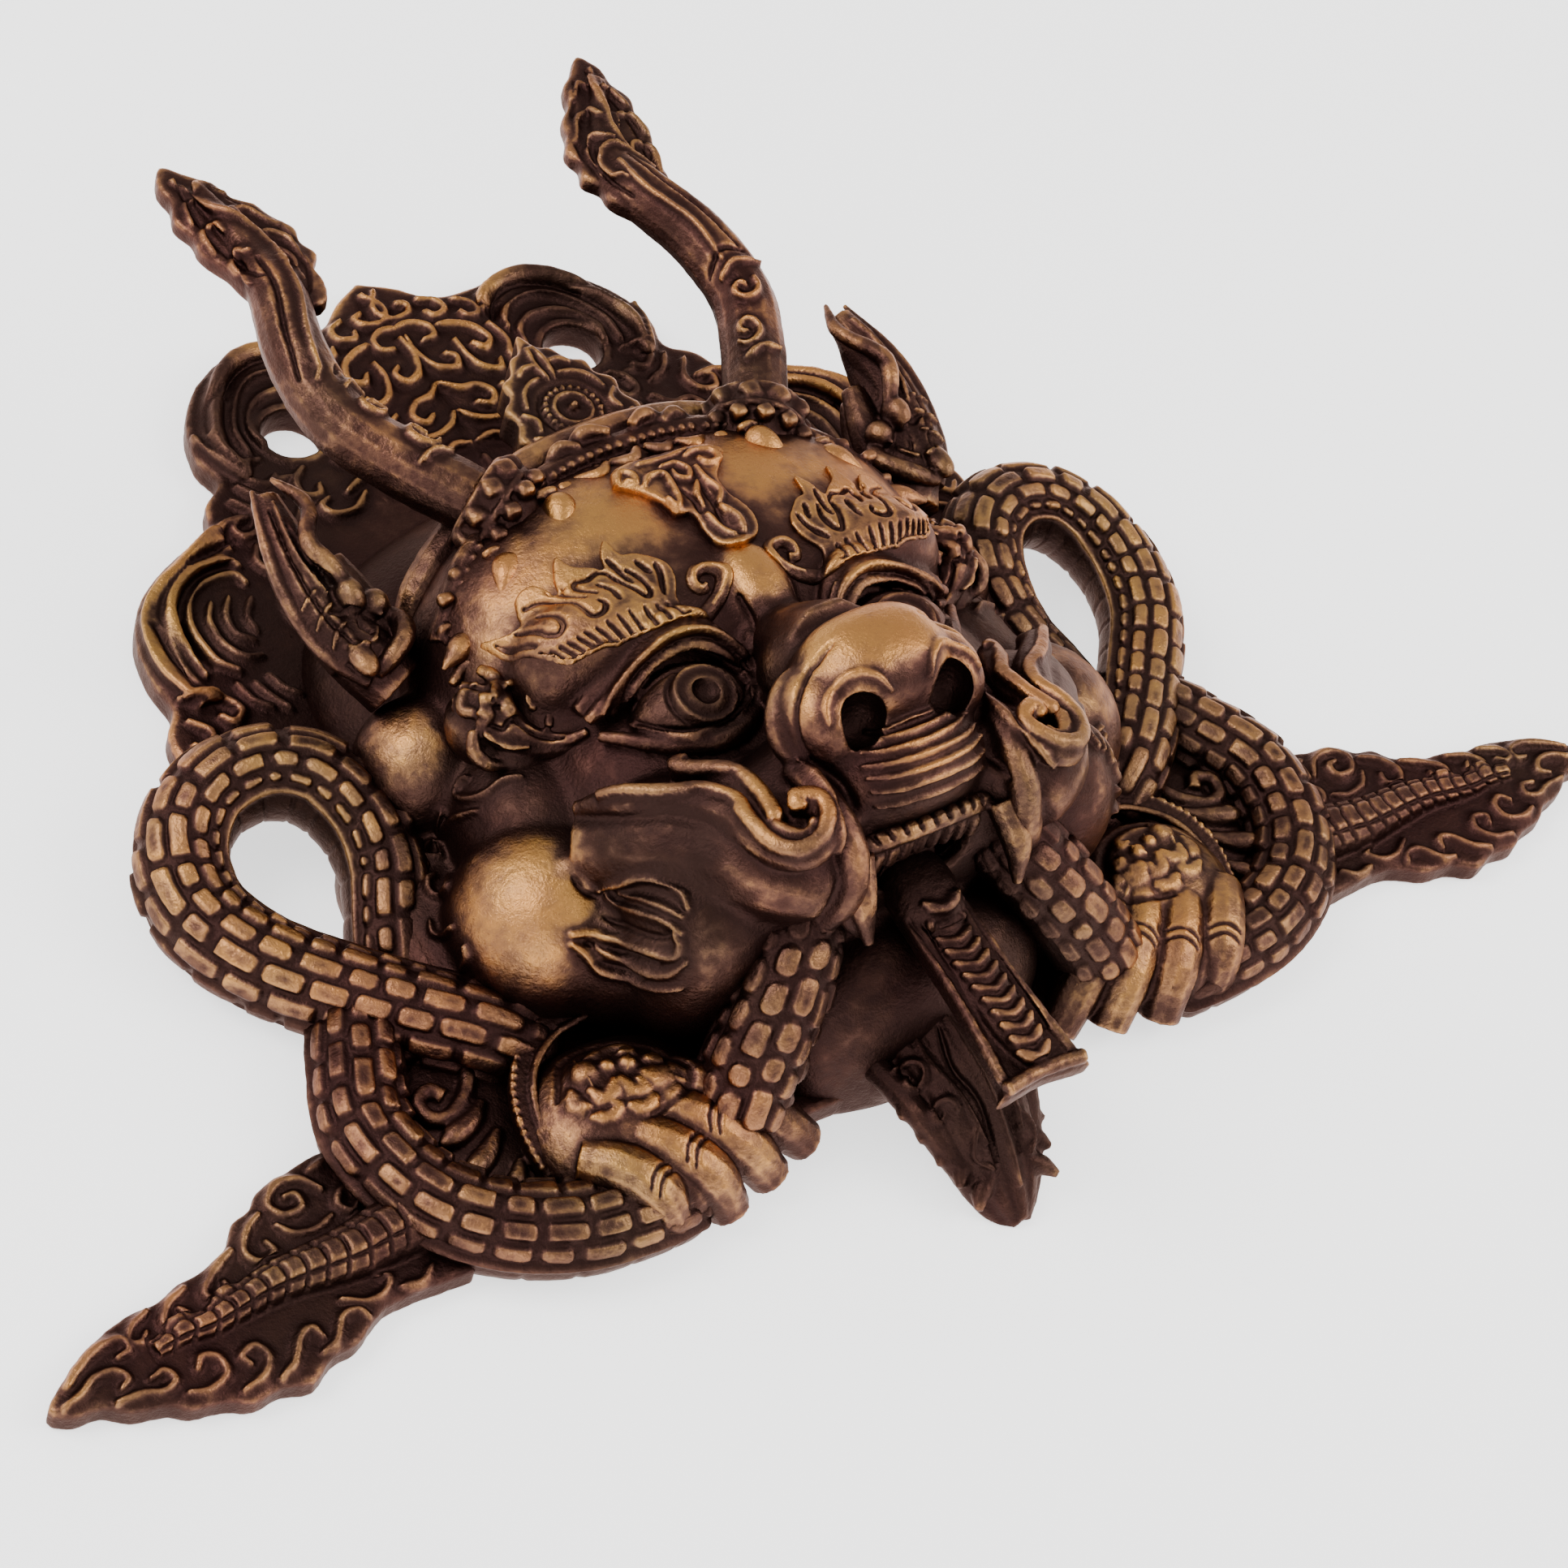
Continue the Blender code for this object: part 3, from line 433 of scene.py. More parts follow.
FACE_STROKES = [
    # lids and the ring of the iris
    ([(-49.8, 77.1, 62), (-45.1, 79.6, 66.5), (-39.7, 81.6, 69.8), (-34.6, 82.9, 72.2),
      (-30.4, 83.4, 73.9), (-26, 82.9, 74.9), (-21.3, 81.5, 74.7), (-17.4, 79.1, 73.1),
      (-14.6, 75.8, 71.1), (-11.2, 72.1, 66.2)], 1.1, 1.3),
    ([(-47.3, 75.9, 60.7), (-42, 77.5, 66), (-36.3, 79, 69.5), (-31.6, 79.6, 70.7), (-26.1, 79.2, 71.8),
      (-21.1, 77, 71.6), (-17.1, 73.6, 70), (-13.5, 70, 66.3)], 1.0, 1.4),
    ([(-46, 78.2, 62.5), (-39.7, 80.4, 68), (-33, 81.7, 71), (-26, 81.2, 73.5), (-20.3, 79.4, 73),
      (-15.6, 75.4, 70), (-12.4, 71.4, 66)], 0.8, -1.5),
    ([(-45.5, 75.6, 61), (-38.5, 76.4, 66.3), (-31.5, 77, 69.5), (-25, 76.4, 70.3), (-19, 73, 69.5),
      (-15.2, 69, 66.3)], 0.8, -1.6),
    ([(-43.5, 71.4, 61.5), (-43, 66.6, 64.2), (-40.8, 61.5, 66.9), (-36.9, 58.6, 68.3),
      (-29.8, 57.8, 66.5), (-24.3, 59.2, 66.7), (-18.4, 62.2, 66.1), (-14.2, 66.2, 66.5)], 1.1, 1.3),
    ([(-41.5, 70.4, 62), (-40.6, 65.6, 65), (-38, 62.2, 67), (-34, 60.4, 68), (-29.4, 59.9, 68),
      (-24.3, 61.2, 67.7), (-19.4, 64, 67.1), (-16.2, 67.4, 66.9)], 0.8, -1.3),
    ([(-29.2 + 7.4 * math.cos(a), 67.4 + 7.0 * math.sin(a)) for a in np.linspace(0, ROUND, 14)],
      0.9, 1.2),
    ([(-29.2 + 9.4 * math.cos(a), 67.4 + 8.6 * math.sin(a)) for a in np.linspace(0, ROUND, 14)],
      0.7, -0.9),
    # wings and rims of the nose
    ([(-11.3, 50.3, 97.7), (-14.8, 49.3, 94.8), (-18.1, 48.9, 93.9), (-22.7, 45.7, 92.6),
      (-25.2, 42.1, 89.4), (-25.6, 38.2, 85.5), (-23.9, 34.7, 82.9), (-19.8, 31.8, 81.4)], 1.1, -1.2),
    ([(-21.5, 35.6, 92.5), (-20.7, 38.8, 94.6), (-17.5, 41.4, 97), (-12.1, 42, 98.6),
      (-7.5, 39.8, 98.4), (-5.4, 35.6, 97.2)], 1.2, 1.2),
    # fold from the wing of the nose down to the corner of the mouth
    ([(-26.3, 36, 81), (-25.9, 31, 82.7), (-26.3, 26.5, 83.7), (-26.6, 19.9, 84.5), (-28, 14, 83),
      (-31, 10.5, 78.7)], 1.5, 1.5),
    ([(-24.2, 34.7, 81.6), (-21.4, 31.7, 79.5), (-20.4, 26.8, 79.8), (-20, 20.7, 77.8),
      (-21, 14.5, 75.7)], 1.4, -2.2),
    # flames over the cheek, with the grooves between them
    ([(-70, 41, 47.2), (-67.1, 38, 52.6), (-65, 35.8, 56.7), (-62.4, 32.1, 59), (-59.6, 26.3, 59.9),
      (-60, 22.4, 58.8)], 1.5, 1.6),
    ([(-67.2, 37.7, 49.3), (-65.2, 32.3, 53.1), (-63.8, 26.9, 56), (-61.5, 21.7, 57.5)], 1.5, 1.5),
    ([(-69.6, 40.2, 47.5), (-67, 37.2, 45.7), (-66.4, 29.8, 51.6), (-64.4, 23.7, 55),
      (-62.9, 19.2, 55.1)], 1.6, 1.6),
    ([(-70.5, 36.3, 44), (-68.2, 28.9, 47.4), (-66, 21.8, 52), (-64.4, 20.7, 54.1)], 1.0, -1.3),
    ([(-78.6, 36.6, 41.1), (-74.5, 34.6, 42), (-72, 32.9, 41.2), (-69.1, 29.1, 42.8), (-68, 22.1, 47.3),
      (-65.1, 17.2, 50.1), (-63.8, 17.6, 52.9), (-63.9, 20.2, 54.5)], 1.6, 1.7),
    ([(-76.4, 33.4, 40.4), (-72.6, 29.6, 40.8), (-69.6, 24.4, 43.6), (-67.4, 18.6, 46.6)], 0.9, -1.2),
    ([(-73.9, 32.7, 39.3), (-71.8, 27.4, 40.1), (-69.1, 21.5, 41.4), (-66.5, 16.4, 44.9),
      (-63.3, 14.8, 49.9)], 1.5, 1.6),
    ([(-75, 29.8, 37), (-72.2, 25.2, 38), (-69.4, 19.6, 39.6)], 0.9, -1.1),
    ([(-79, 35.4, 39.4), (-77.3, 32.3, 38.5), (-74.6, 28.4, 35.6), (-71.2, 23.5, 36.7),
      (-68.3, 18.2, 38.8), (-63.9, 12.9, 43.1)], 1.6, 1.6),
    ([(-73.6, 47.2, 47.9), (-72.4, 43.3, 46.4), (-70.1, 40.5, 46.7)], 0.9, -1.0),
    # small curls between the ball of the jaw and the serpent
    ([(-74.2, 87.1, 36.5), (-75.1, 88.3, 34.3), (-75.6, 86.1, 32.2), (-75.3, 82.2, 34.8),
      (-74.6, 80.3, 39.3), (-73, 80.7, 43.6), (-71.5, 80.4, 46.2), (-69.1, 78.8, 49.1)], 1.2, 1.7),
    ([(-78.5, 87.1, 27.3), (-80.4, 87.9, 26.8), (-80.2, 87, 23), (-77.9, 85.7, 20.4),
      (-76.1, 84.3, 23.1), (-75.7, 81.5, 29.5), (-75.6, 78.1, 35.5)], 1.3, 1.9),
    ([(-80.4, 85, 18.2), (-83.3, 86.1, 19), (-87.1, 83.5, 21.2), (-85.9, 81.7, 18.7), (-83, 80.6, 18.5),
      (-78.3, 82.4, 16.9), (-75.5, 83.6, 17.8)], 1.3, 1.9),
    ([(-88.2, 76.2, 19.6), (-90.1, 75.9, 19.5), (-91.6, 72.3, 19.9), (-90.4, 69.4, 22.2),
      (-89.9, 67.8, 27.1), (-85.3, 73.2, 22.4)], 1.3, 1.9),
    ([(-95.5, 65.5, 19.2), (-96.4, 62.1, 19.1), (-95.5, 59.4, 21.5), (-95.2, 57.4, 27.2)], 1.2, 1.6),
    ([(-95.7, 51.2, 27.9), (-95.9, 49.3, 25.6), (-96.6, 49.8, 20.5)], 1.2, 1.6),
    # creases beside the bridge of the nose and folds of the forehead
    ([(-9.5, 87, 75), (-9.6, 80, 72), (-10.5, 73, 68), (-12, 66, 68), (-15.5, 58.5, 74)], 1.3, -1.6),
    ([(-17, 82.5, 74.5), (-12.5, 78, 71), (-10.5, 72, 66)], 1.0, 0.9),
]


def hollow():
    """The room behind the face, as a closed tool that reaches down through the open back."""
    rows = []
    for centre, half, power in HEAD_FORMS:
        inner = [h - WALL for h in half]
        rows.append((centre, inner, power))
        under = (inner[0] * 0.86, inner[1] * 0.86, centre[2] + 8)
        rows.append(((centre[0], centre[1], 0), under, 4.0))
    rows.append(((0, 15.5, 57), (14.5, 18, 7.0), 3.0))
    tool = cast("hollow", [lumps(rows, 48)], 1.6, 2, keep_hollow=False)
    pieces.remove(tool)
    return tool


def head():
    """The hollow head with everything of the face that grows out of it."""
    flesh = [
        lumps(
            [
                *HEAD_FORMS,
                ((0, 128, 2), (86, 54, 32), 2.4),
                ((0, 4, 6), (42, 20, 36), 2.2),
                ((0, 47, 84), (20, 15, 19), 2.5),
                ((0, 44, 79), (25, 15, 14), 2.3),
                ((0, 61, 74), (17, 13, 14), 2.2),
                ((0, 91, 69), (9, 14, 9), 2.2),
                ((0, 27, 74), (21, 12, 15), 2.3),
                *both_lumps(
                    [
                        ((72, 52, 23), 24.5),
                        ((58, 37, 26), (21, 18, 21), 2.2),
                        ((50, 26, 36), (20, 18, 26), 2.3),
                        ((75, 104, 22), 18),
                        ((88, 62, 6), (16, 40, 14), 2.4),
                        ((34, 96, 52), (28, 15, 22), 2.3),
                        ((50, 44, 50), (17, 16, 16), 2.2),
                        ((31, 24, 58), (16, 15, 20), 2.3),
                        ((60, 74, 24), (22, 28, 22), 2.2),
                        ((17, 42.5, 83), (10, 12.5, 12.5), 2.3),
                    ]
                ),
            ],
            48,
        ),
        bars(
            [
                ([(0, 80, 60), (0, 70, 69), (0, 58, 80)], (11, 12.5, 15)),
                *both(
                    [
                        ([(66, 54, 46), (56, 43, 55), (47, 33, 61), (40, 20, 65), (30, 12, 63)],
                         (9, 12, 12, 11, 8)),
                        ([(74, 128, 36), (77, 142, 41), (79, 150, 46)], (7, 6, 5)),
                        ([(-26, 36, 74), (-24, 20, 72), (-27, 10, 60)], (5, 6, 5)),
                    ]
                ),
            ]
        ),
    ]
    body = cast("flesh", flesh, 1.3, 9, keep_hollow=False)
    pieces.remove(body)
    forms = [
        body,
        lumps(
            [
                ((0, 75.5, 70.5), (6.8, 6.8, 6.8)),
                *both_lumps([((29.5, 69, 60.4), (15.5, 12.5, 12))]),
            ]
        ),
        bars(
            both(
                [
                    (LID, (1.5, 3, 3.6, 3.4, 2)),
                    ([(x, y + 4, z - 1) for x, y, z in LID], (2, 3.5, 4, 4, 2)),
                    (UNDER, (1.5, 2.6, 2.6, 1.5)),
                    (ROLL, (2, 3.8, 4.6, 4.8, 4.8, 4.2, 3.6, 3.2, 2.6)),
                    ([(-46, 54, 66), (-41, 46, 71), (-38.5, 35, 75), (-40, 24, 78)], (2.4, 3.4, 3.6, 3)),
                    (
                        [
                            (-9, 57, 88), (-15.2, 53.5, 88), (-21.5, 51.5, 87), (-26, 47, 84),
                            (-27, 41, 80.5), (-24, 34.5, 78.5), (-19, 31, 79),
                        ],
                        (1.6, 2.6, 3, 3, 3, 2.6, 2),
                    ),
                    (
                        [(-27, 37, 77), (-26.5, 26, 79.5), (-25, 14, 75), (-26, 8, 64), (-31, 9, 53)],
                        (2.6, 4, 4.2, 4, 3),
                    ),
                ]
            )
        ),
    ]
    obj = cast("head", forms, 0.66, 3, keep_hollow=False)
    holes = both_lumps(
        [
            ((12.6, 34.6, 90), (6.6, 6.8, 8.0)),
            ((29.2, 67.1, 74.4), (4.3, 4.3, 5.2)),
        ]
    )
    small = cast("small_hollows", [lumps(holes, 28)], 0.6, 1, keep_hollow=False)
    pieces.remove(small)
    bpy.ops.mesh.primitive_cube_add(size=BLOCK, location=(0, 80, -BLOCK / 2))
    block = bpy.context.object
    taken(obj, [hollow(), small, block])
    strokes = [(ridge, 0.85, 1.15) for ridge in LIP_RIDGES]
    strokes += both(FACE_STROKES)
    strokes += both([(ribbon, 1.8, 1.7, 4) for ribbon in RIBBONS])
    carve(obj, strokes)
    return thinned(obj)


BROW = [
    (-21.3, 86), (-25.8, 86.3), (-31, 86.8), (-34.6, 87.5), (-38.3, 87.6), (-41.3, 87.4), (-44, 88.3),
    (-48.7, 88.6), (-52.5, 89.2), (-55.6, 92), (-59.4, 98.6), (-61.9, 105.9), (-62.8, 109.8),
    (-59.8, 107.7), (-56.1, 106.3), (-54.6, 107.2), (-54.1, 109.7), (-52.4, 113.4), (-48.5, 114),
    (-46, 110.5), (-44.5, 107.5), (-43.5, 111.8), (-40.1, 117.6), (-38.4, 113), (-35, 110.4),
    (-32.4, 108.3), (-30.9, 112.4), (-28, 115.6), (-26.9, 110), (-23.5, 108.7), (-18.6, 103.8),
    (-18.2, 99), (-21.1, 93), (-19.4, 88.6),
]
BROW_CURL = [
    (-22, 87.5), (-18, 87), (-13.5, 88.8), (-9.8, 91.1), (-7.6, 94.1), (-7.9, 97), (-10.4, 98.6),
    (-13.2, 98.2), (-14.8, 95.9), (-14, 93.8), (-12, 94.2),
]
BROW_GROOVES = [
    [(-28.2, 105.5), (-26.7, 101.2), (-26.9, 97), (-28.5, 95.6), (-30, 97.9), (-31.5, 102),
      (-32.5, 106)],
    [(-32.7, 106.6), (-34.4, 108), (-37.4, 107.6), (-40.3, 108.5), (-40.5, 105.4), (-39, 101.9)],
    [(-36.4, 104.5), (-35.2, 100.5), (-35.4, 97.4)],
    [(-52.4, 109.5), (-48.4, 108.2), (-45.2, 103.2), (-44.4, 98.9), (-43.7, 95.9), (-41, 95.6),
      (-39.2, 97.4), (-40, 99.2)],
    [(-45.1, 110.5), (-43.6, 106.2), (-42, 102)],
    [(-30.6, 110), (-29.6, 105), (-29.4, 101)],
    [(-56.6, 105.3), (-55, 101.2), (-53.9, 97.8), (-51.9, 96.4), (-50.1, 98), (-50.1, 101.2),
      (-51.6, 105)],
    [(-60.6, 106.6), (-58.9, 102.1), (-57, 97.6)],
    [(-20.9, 103.9), (-21.4, 100.5), (-23.9, 95.2)],
    [(-24.8, 106.4), (-23.4, 102.4)],
]
COMB = [
    ((-23.6, 85.6), (-25, 92.2)), ((-27.2, 85.8), (-27.7, 92.6)), ((-30.7, 86), (-31, 93)),
    ((-33.7, 86.4), (-35.2, 93.2)), ((-36.3, 86.6), (-38.4, 93.2)), ((-38.8, 86.6), (-41.6, 92.8)),
    ((-41.1, 86.8), (-44.6, 92.6)), ((-43.2, 87), (-47.4, 93)), ((-45.3, 87.2), (-49.4, 92.8)),
    ((-47.6, 87.6), (-51.6, 93)), ((-50, 88), (-53.5, 93.4)), ((-52.4, 88.6), (-55.4, 94)),
    ((-54.6, 90), (-57.2, 95.4)),
]


def brows(ground):
    """The flaming brows, with a comb of short hairs along their lower edge."""
    slab = leaf(BROW, -1.6, 1.35, steps=4, edge=0.5)
    bar = bars([(lifted(BROW_CURL, -0.2), (2.2, 2.2, 2.1, 2.0, 1.9, 1.8, 1.5))])
    obj = cast("brow_left", [slab, bar], 0.42, 1, False)
    strokes = [(groove, 0.78, -1.7) for groove in BROW_GROOVES]
    strokes += [([a, b], 0.62, -1.5) for a, b in COMB]
    strokes.append((BROW_CURL[2:], 0.7, 0.5))
    carve(obj, strokes)
    drape(obj, ground, 0.15)
    thinned(obj, 26000)
    mirrored(obj, "brow_right")


PENDANT = [
    (-16.5, 129.7), (-13, 135), (-6, 136), (0, 135.5), (7, 135), (13, 134), (16, 130), (12, 125.5),
    (8, 121), (7.6, 115), (9.6, 108), (8, 102.4), (4.3, 100.2), (0, 99), (-3.6, 101.3), (-5, 107),
    (-4.6, 113), (-8.6, 114.4), (-9.6, 119), (-12.4, 125),
]
PENDANT_STROKES = [
    ([(-15.4, 129.7), (-12.6, 133), (-10.6, 130.6), (-11.6, 127.4), (-13.4, 129)], 1.0, 1.3),
    ([(-10.6, 125.6), (-7.4, 127.9), (-4, 127.2), (-4.4, 123), (-5.6, 118), (-7.4, 115.8), (-8.2, 119)],
      1.1, 1.4),
    ([(-2.9, 129.6), (0.8, 129.4), (2.4, 126), (0.6, 123), (-1.8, 124.5), (-1.5, 127)], 1.1, 1.4),
    ([(1.6, 121), (-0.6, 117.6), (-1.6, 113.6)], 1.2, 1.3),
    ([(5, 131), (8.6, 132), (12.4, 130), (12, 126.6), (8.4, 126), (7.4, 128.6)], 1.1, 1.4),
    ([(4.6, 126), (4.4, 121), (5.4, 116.5), (3, 113)], 1.1, 1.3),
    ([(-7, 133.4), (0, 132.6), (7, 133.4)], 1.2, 1.2),
    ([(2.2, 111.5), (4.4, 107), (3.6, 103)], 1.9, 1.9),
    ([(-2, 110.6), (-1.4, 106), (0.4, 102.6)], 1.4, 1.4),
    ([(-3.4, 121), (-2.4, 116), (-3, 112)], 0.7, -1.1),
    ([(2.4, 121), (2, 117), (1.4, 112), (0.6, 107), (1.8, 102.6)], 0.7, -1.1),
]


def diadem(ground):
    """The beaded band over the forehead, its drops and its pendant."""
    slab = cast("pendant", [leaf(PENDANT, -2.5, 2.2, edge=0.7)], 0.45, 1, False)
    carve(slab, PENDANT_STROKES)
    drape(slab, ground)
    thinned(slab, 14000)
    band = [(-66, 119, 47), (-52, 133, 56), (-34, 142.5, 59), (-17, 146.6, 61), (0, 147.6, 61.5)]
    band += [(-x, y, z) for x, y, z in reversed(band[:-1])]
    back = [(-66, 130, 26), (-58, 140, 44), (-30, 153, 54), (0, 155, 58)]
    back += [(-x, y, z) for x, y, z in reversed(back[:-1])]
    line = sampled(band, 12)
    count = 46
    step = np.linspace(0, len(line) - 1, count)
    beads = []
    for i in range(count):
        x, y, z = line[int(step[i])]
        beads.append(((x, y - 1.4, z + 3.2), 1.35))
    for i in range(count):
        x, y, z = line[int(step[i])]
        beads.append(((x, y - 5.6, z + 2.2), (1.5, 1.7, 1.5), 2.6))
    bumps = []
    for side in (-1, 1):
        for i in range(8):
            share = i / 7
            spot = ((63 - 40 * share) * side, 125.5 + 13 * math.sqrt(share), 55.5 + 9.6 * share)
            bumps.append((spot, (2.1, 1.6, 1.7), 3.0))
    drops = []
    for x, y, z, lean, size in (
        (-29.5, 131, 67.4, 24, 1.0), (-48.5, 123, 62.6, 42, 0.95), (30.5, 131.5, 67.4, -24, 1.0),
        (48.5, 123, 62.6, -42, 0.95), (-65, 113.5, 52, 62, 0.8), (65, 113.5, 52, -62, 0.8),
    ):
        rows = [(x, y + 4.6, z - 1.6), (x, y + 2, z - 0.6), (x, y - 2, z), (x, y - 8, z - 0.6)]
        drop = bars([(rows, (1.6 * size, 4.2 * size, 3.7 * size, 0.5))], 6, 5)
        drops.append(turned(drop, (x, y, z), "Z", -lean))
        drops.append(lumps([((x, y + 6.6, z - 0.8), (3.4 * size, 1.3, 2.2), 2.4)], 18))
    tufts = [
        ([(-14, 150.5, 62), (-9, 152.5, 65), (-3, 150, 66)], (1.5, 2.2, 1.2)),
        ([(-21, 148.5, 61), (-17, 151, 64), (-12, 149, 65)], (1.3, 2, 1.1)),
        ([(-9, 141, 66), (-4.5, 138, 68.5), (-1, 141.4, 68)], (1.2, 2, 1)),
        ([(-19, 140.5, 64.5), (-14, 137.5, 67.5), (-10, 140.5, 67)], (1.2, 2, 1)),
    ]
    rows = [(band, 4.0), (back, 5.0), *both(tufts)]
    forms = [bars(rows, 6, 3), lumps(beads, 12), lumps(bumps, 16), *drops]
    thinned(cast("diadem", forms, 0.55, 1), 50000)


def crown_leaf():
    """The standing leaf over the forehead with its rosette."""
    outline = [
        (-13, 149), (-16.5, 155), (-15.4, 160), (-18, 164), (-15.4, 169), (-16.4, 174), (-12.6, 177.5),
        (-12.4, 182), (-8.4, 184.4), (-6, 189), (-2.6, 190.4), (0, 195.5),
    ]
    outline += [(-x, y) for x, y in reversed(outline[:-1])]
    forms = [leaf(outline, 44, 54.6, steps=4, edge=1.2), lumps([((0, 156, 30), (20, 16, 26), 2.4)], 32)]
    obj = cast("crown_leaf", forms, 0.6, 1)
    y = 168
    petals = 22
    ring = [(8.6 * math.cos(a), y + 8.6 * math.sin(a)) for a in np.linspace(0, ROUND, 20)]
    inner = [(5 * math.cos(a), y + 5 * math.sin(a)) for a in np.linspace(0, ROUND, 14)]
    strokes = [(ring, 0.9, -0.9), (inner, 0.9, 1.2), ([(-0.3, y), (0.3, y)], 2.2, 3.0)]
    for i in range(petals):
        a = 2 * math.pi * i / petals
        spoke = [(reach * math.cos(a), y + reach * math.sin(a)) for reach in (6.6, 7.8)]
        strokes.append((spoke, 0.75, 1.1))
    strokes += both(
        [
            ([(-3, 180), (-6.6, 179), (-9.6, 176.4), (-11.4, 172)], 1.1, 1.3),
            ([(-1.2, 184), (-5, 184.4), (-7.4, 182.4)], 1.0, 1.2),
            ([(-0.9, 179), (-1.6, 184.5), (-0.6, 190)], 1.1, 1.3),
            ([(-13.4, 170.5), (-11, 167.6), (-12, 164)], 1.1, 1.2),
            ([(-14.4, 162.6), (-11.4, 160.6), (-9.6, 157.4)], 1.1, 1.2),
            ([(-13.4, 156.6), (-9, 154.6), (-4, 155.6)], 1.1, 1.2),
        ]
    )
    carve(obj, strokes)
    return thinned(obj, 26000)


TEETH = 8
TOOTH_STEP = 4
TONGUE_HALF = 9.5


def teeth():
    """The upper row of teeth with its gum, and two fangs on each side."""
    rows = []
    for i in range(TEETH):
        x = -14 + TOOTH_STEP * i
        rows.append(((x, 14.6, 65 - 0.012 * x * x), (1.75, 2.6, 4.6), 3.4))
    gum = [(-18, 16, 67.5), (-9, 14.4, 70), (0, 14, 70.6), (9, 14.4, 70), (18, 16, 67.5)]
    forms = [lumps(rows, 18), bars([(gum, 2.6)])]
    fangs = []
    for side in (-1, 1):
        root = Vector((21 * side, 14, 69))
        tip = root + Vector((0.6 * side, -9, -11)).normalized() * 22
        middle = (root + tip) / 2 + Vector((1.4 * side, -0.8, 0.8))
        fangs.append(([root, middle, tip], (4.2, 3.9, 1.2)))
        fangs.append(([(26 * side, 11, 62), (25.5 * side, 6, 57), (22.5 * side, 3, 52)], (3, 2.4, 0.9)))
    forms.append(bars(fangs))
    obj = cast("teeth", forms, 0.5, 1)
    gaps = [-16 + TOOTH_STEP * i for i in range(TEETH + 1)]
    carve(obj, [([(x, 17, 72), (x, 12, 72)], 0.75, -1.1) for x in gaps])
    thinned(obj, 14000)


def tongue():
    """The hanging tongue with its turned rims and crescent plates."""
    half = TONGUE_HALF
    outline = [(-0.8, 14), (-0.9, -20), (-1.02, -36), (-1.12, -43), (-1.36, -46.5), (0, -45.4)]
    outline += [(1.36, -46.5), (1.12, -43), (1.02, -36), (0.9, -20), (0.8, 14)]
    outline = [(x * half, y) for x, y in outline]
    forms = [turned(leaf(outline, 44, 49.6, edge=1.4), (0, 8, 50), "X", 5.0)]
    edges = []
    for side in (-1, 1):
        rim = ((0.74, 6, 49.2), (0.84, -20, 47.5), (1.06, -42, 45.2))
        edges.append(([(half * share * side, y, z) for share, y, z in rim], (2.2, 1.7, 1.5)))
    edges.append(([(-half - 2, -44.6, 46.4), (0, -43.6, 46.6), (half + 2, -44.6, 46.4)], 1.9))
    forms.append(bars(edges))
    forms.append(lumps([((0, 10, 50), (9, 12, 6), 2.4)], 24))
    forms.append(lumps([((0, -16, 46.6), (6.4, 26, 3.4), 2.6)], 32))
    obj = cast("tongue", forms, 0.5, 2)
    strokes = []
    for i in range(12):
        y = 1.5 - 3.75 * i
        wide = 4.6 - 0.10 * i
        crescent = [(-wide, y + 1.6), (-0.6 * wide, y - 0.2), (0, y - 1.0), (0.6 * wide, y)]
        strokes.append(([*crescent, (wide, y + 1.4)], 1.5, 1.7, 3))
    strokes += [([(8.2 * side, 2), (6.9 * side, -14), (7.6 * side, -34)], 1.1, -0.9) for side in (-1, 1)]
    carve(obj, strokes)
    thinned(obj, 22000)


LOOP = [
    (86, 30, 4), (97, 37, 12), (109, 48, 12), (122, 62, 10.5), (134, 77, 10), (140, 94, 10),
    (137, 109, 13), (127, 118, 17), (113, 119, 20), (101, 112, 20), (95, 99, 17), (95, 85, 12),
    (101, 70, 6), (106, 58, -2),
]
LOWER_ARC = [
    (116, 62, -1), (122, 51, 7), (128, 40, 8), (134, 24, 8), (130, 5, 7.5), (119, -8, 7.5),
    (103, -16, 7.5), (86, -18, 7), (70, -16, 3),
]
MOUTH_BODY = [(25, 22, 54), (29, 18, 50), (35, 10, 43), (43, 2, 33), (52, -5, 20), (57, -9, 10)]
SERPENT = 11.25  # radius of the serpents' bodies
SERPENT_MOST = {"loop": 46000, "arc": 30000, "neck": 12000}  # triangles in each length
RIGHT_SEED, LEFT_SEED = 11, 23
PLATE_RISE = 1.35  # how far the plates stand above the grooves between them
PLATES = {
    # where the plates start, the angle of the rim beside them, and their rows (height, length)
    "loop": (-50, -57, ((3.7, 7.4), (5.2, 9.2), (5.9, 10), (6.2, 10.4), (6.2, 10.6), (5.6, 10.6))),
    "arc": (-74, -82, ((5.0, 9.0), (5.8, 9.6), (6.2, 10), (6.2, 10), (5.8, 9.6), (5.0, 9))),
    "neck": (-84, -90, ((5.4, 8.4), (6.4, 8.8), (7.0, 8.6), (7.0, 8.8), (6.4, 8.4), (5.0, 8.4))),
}


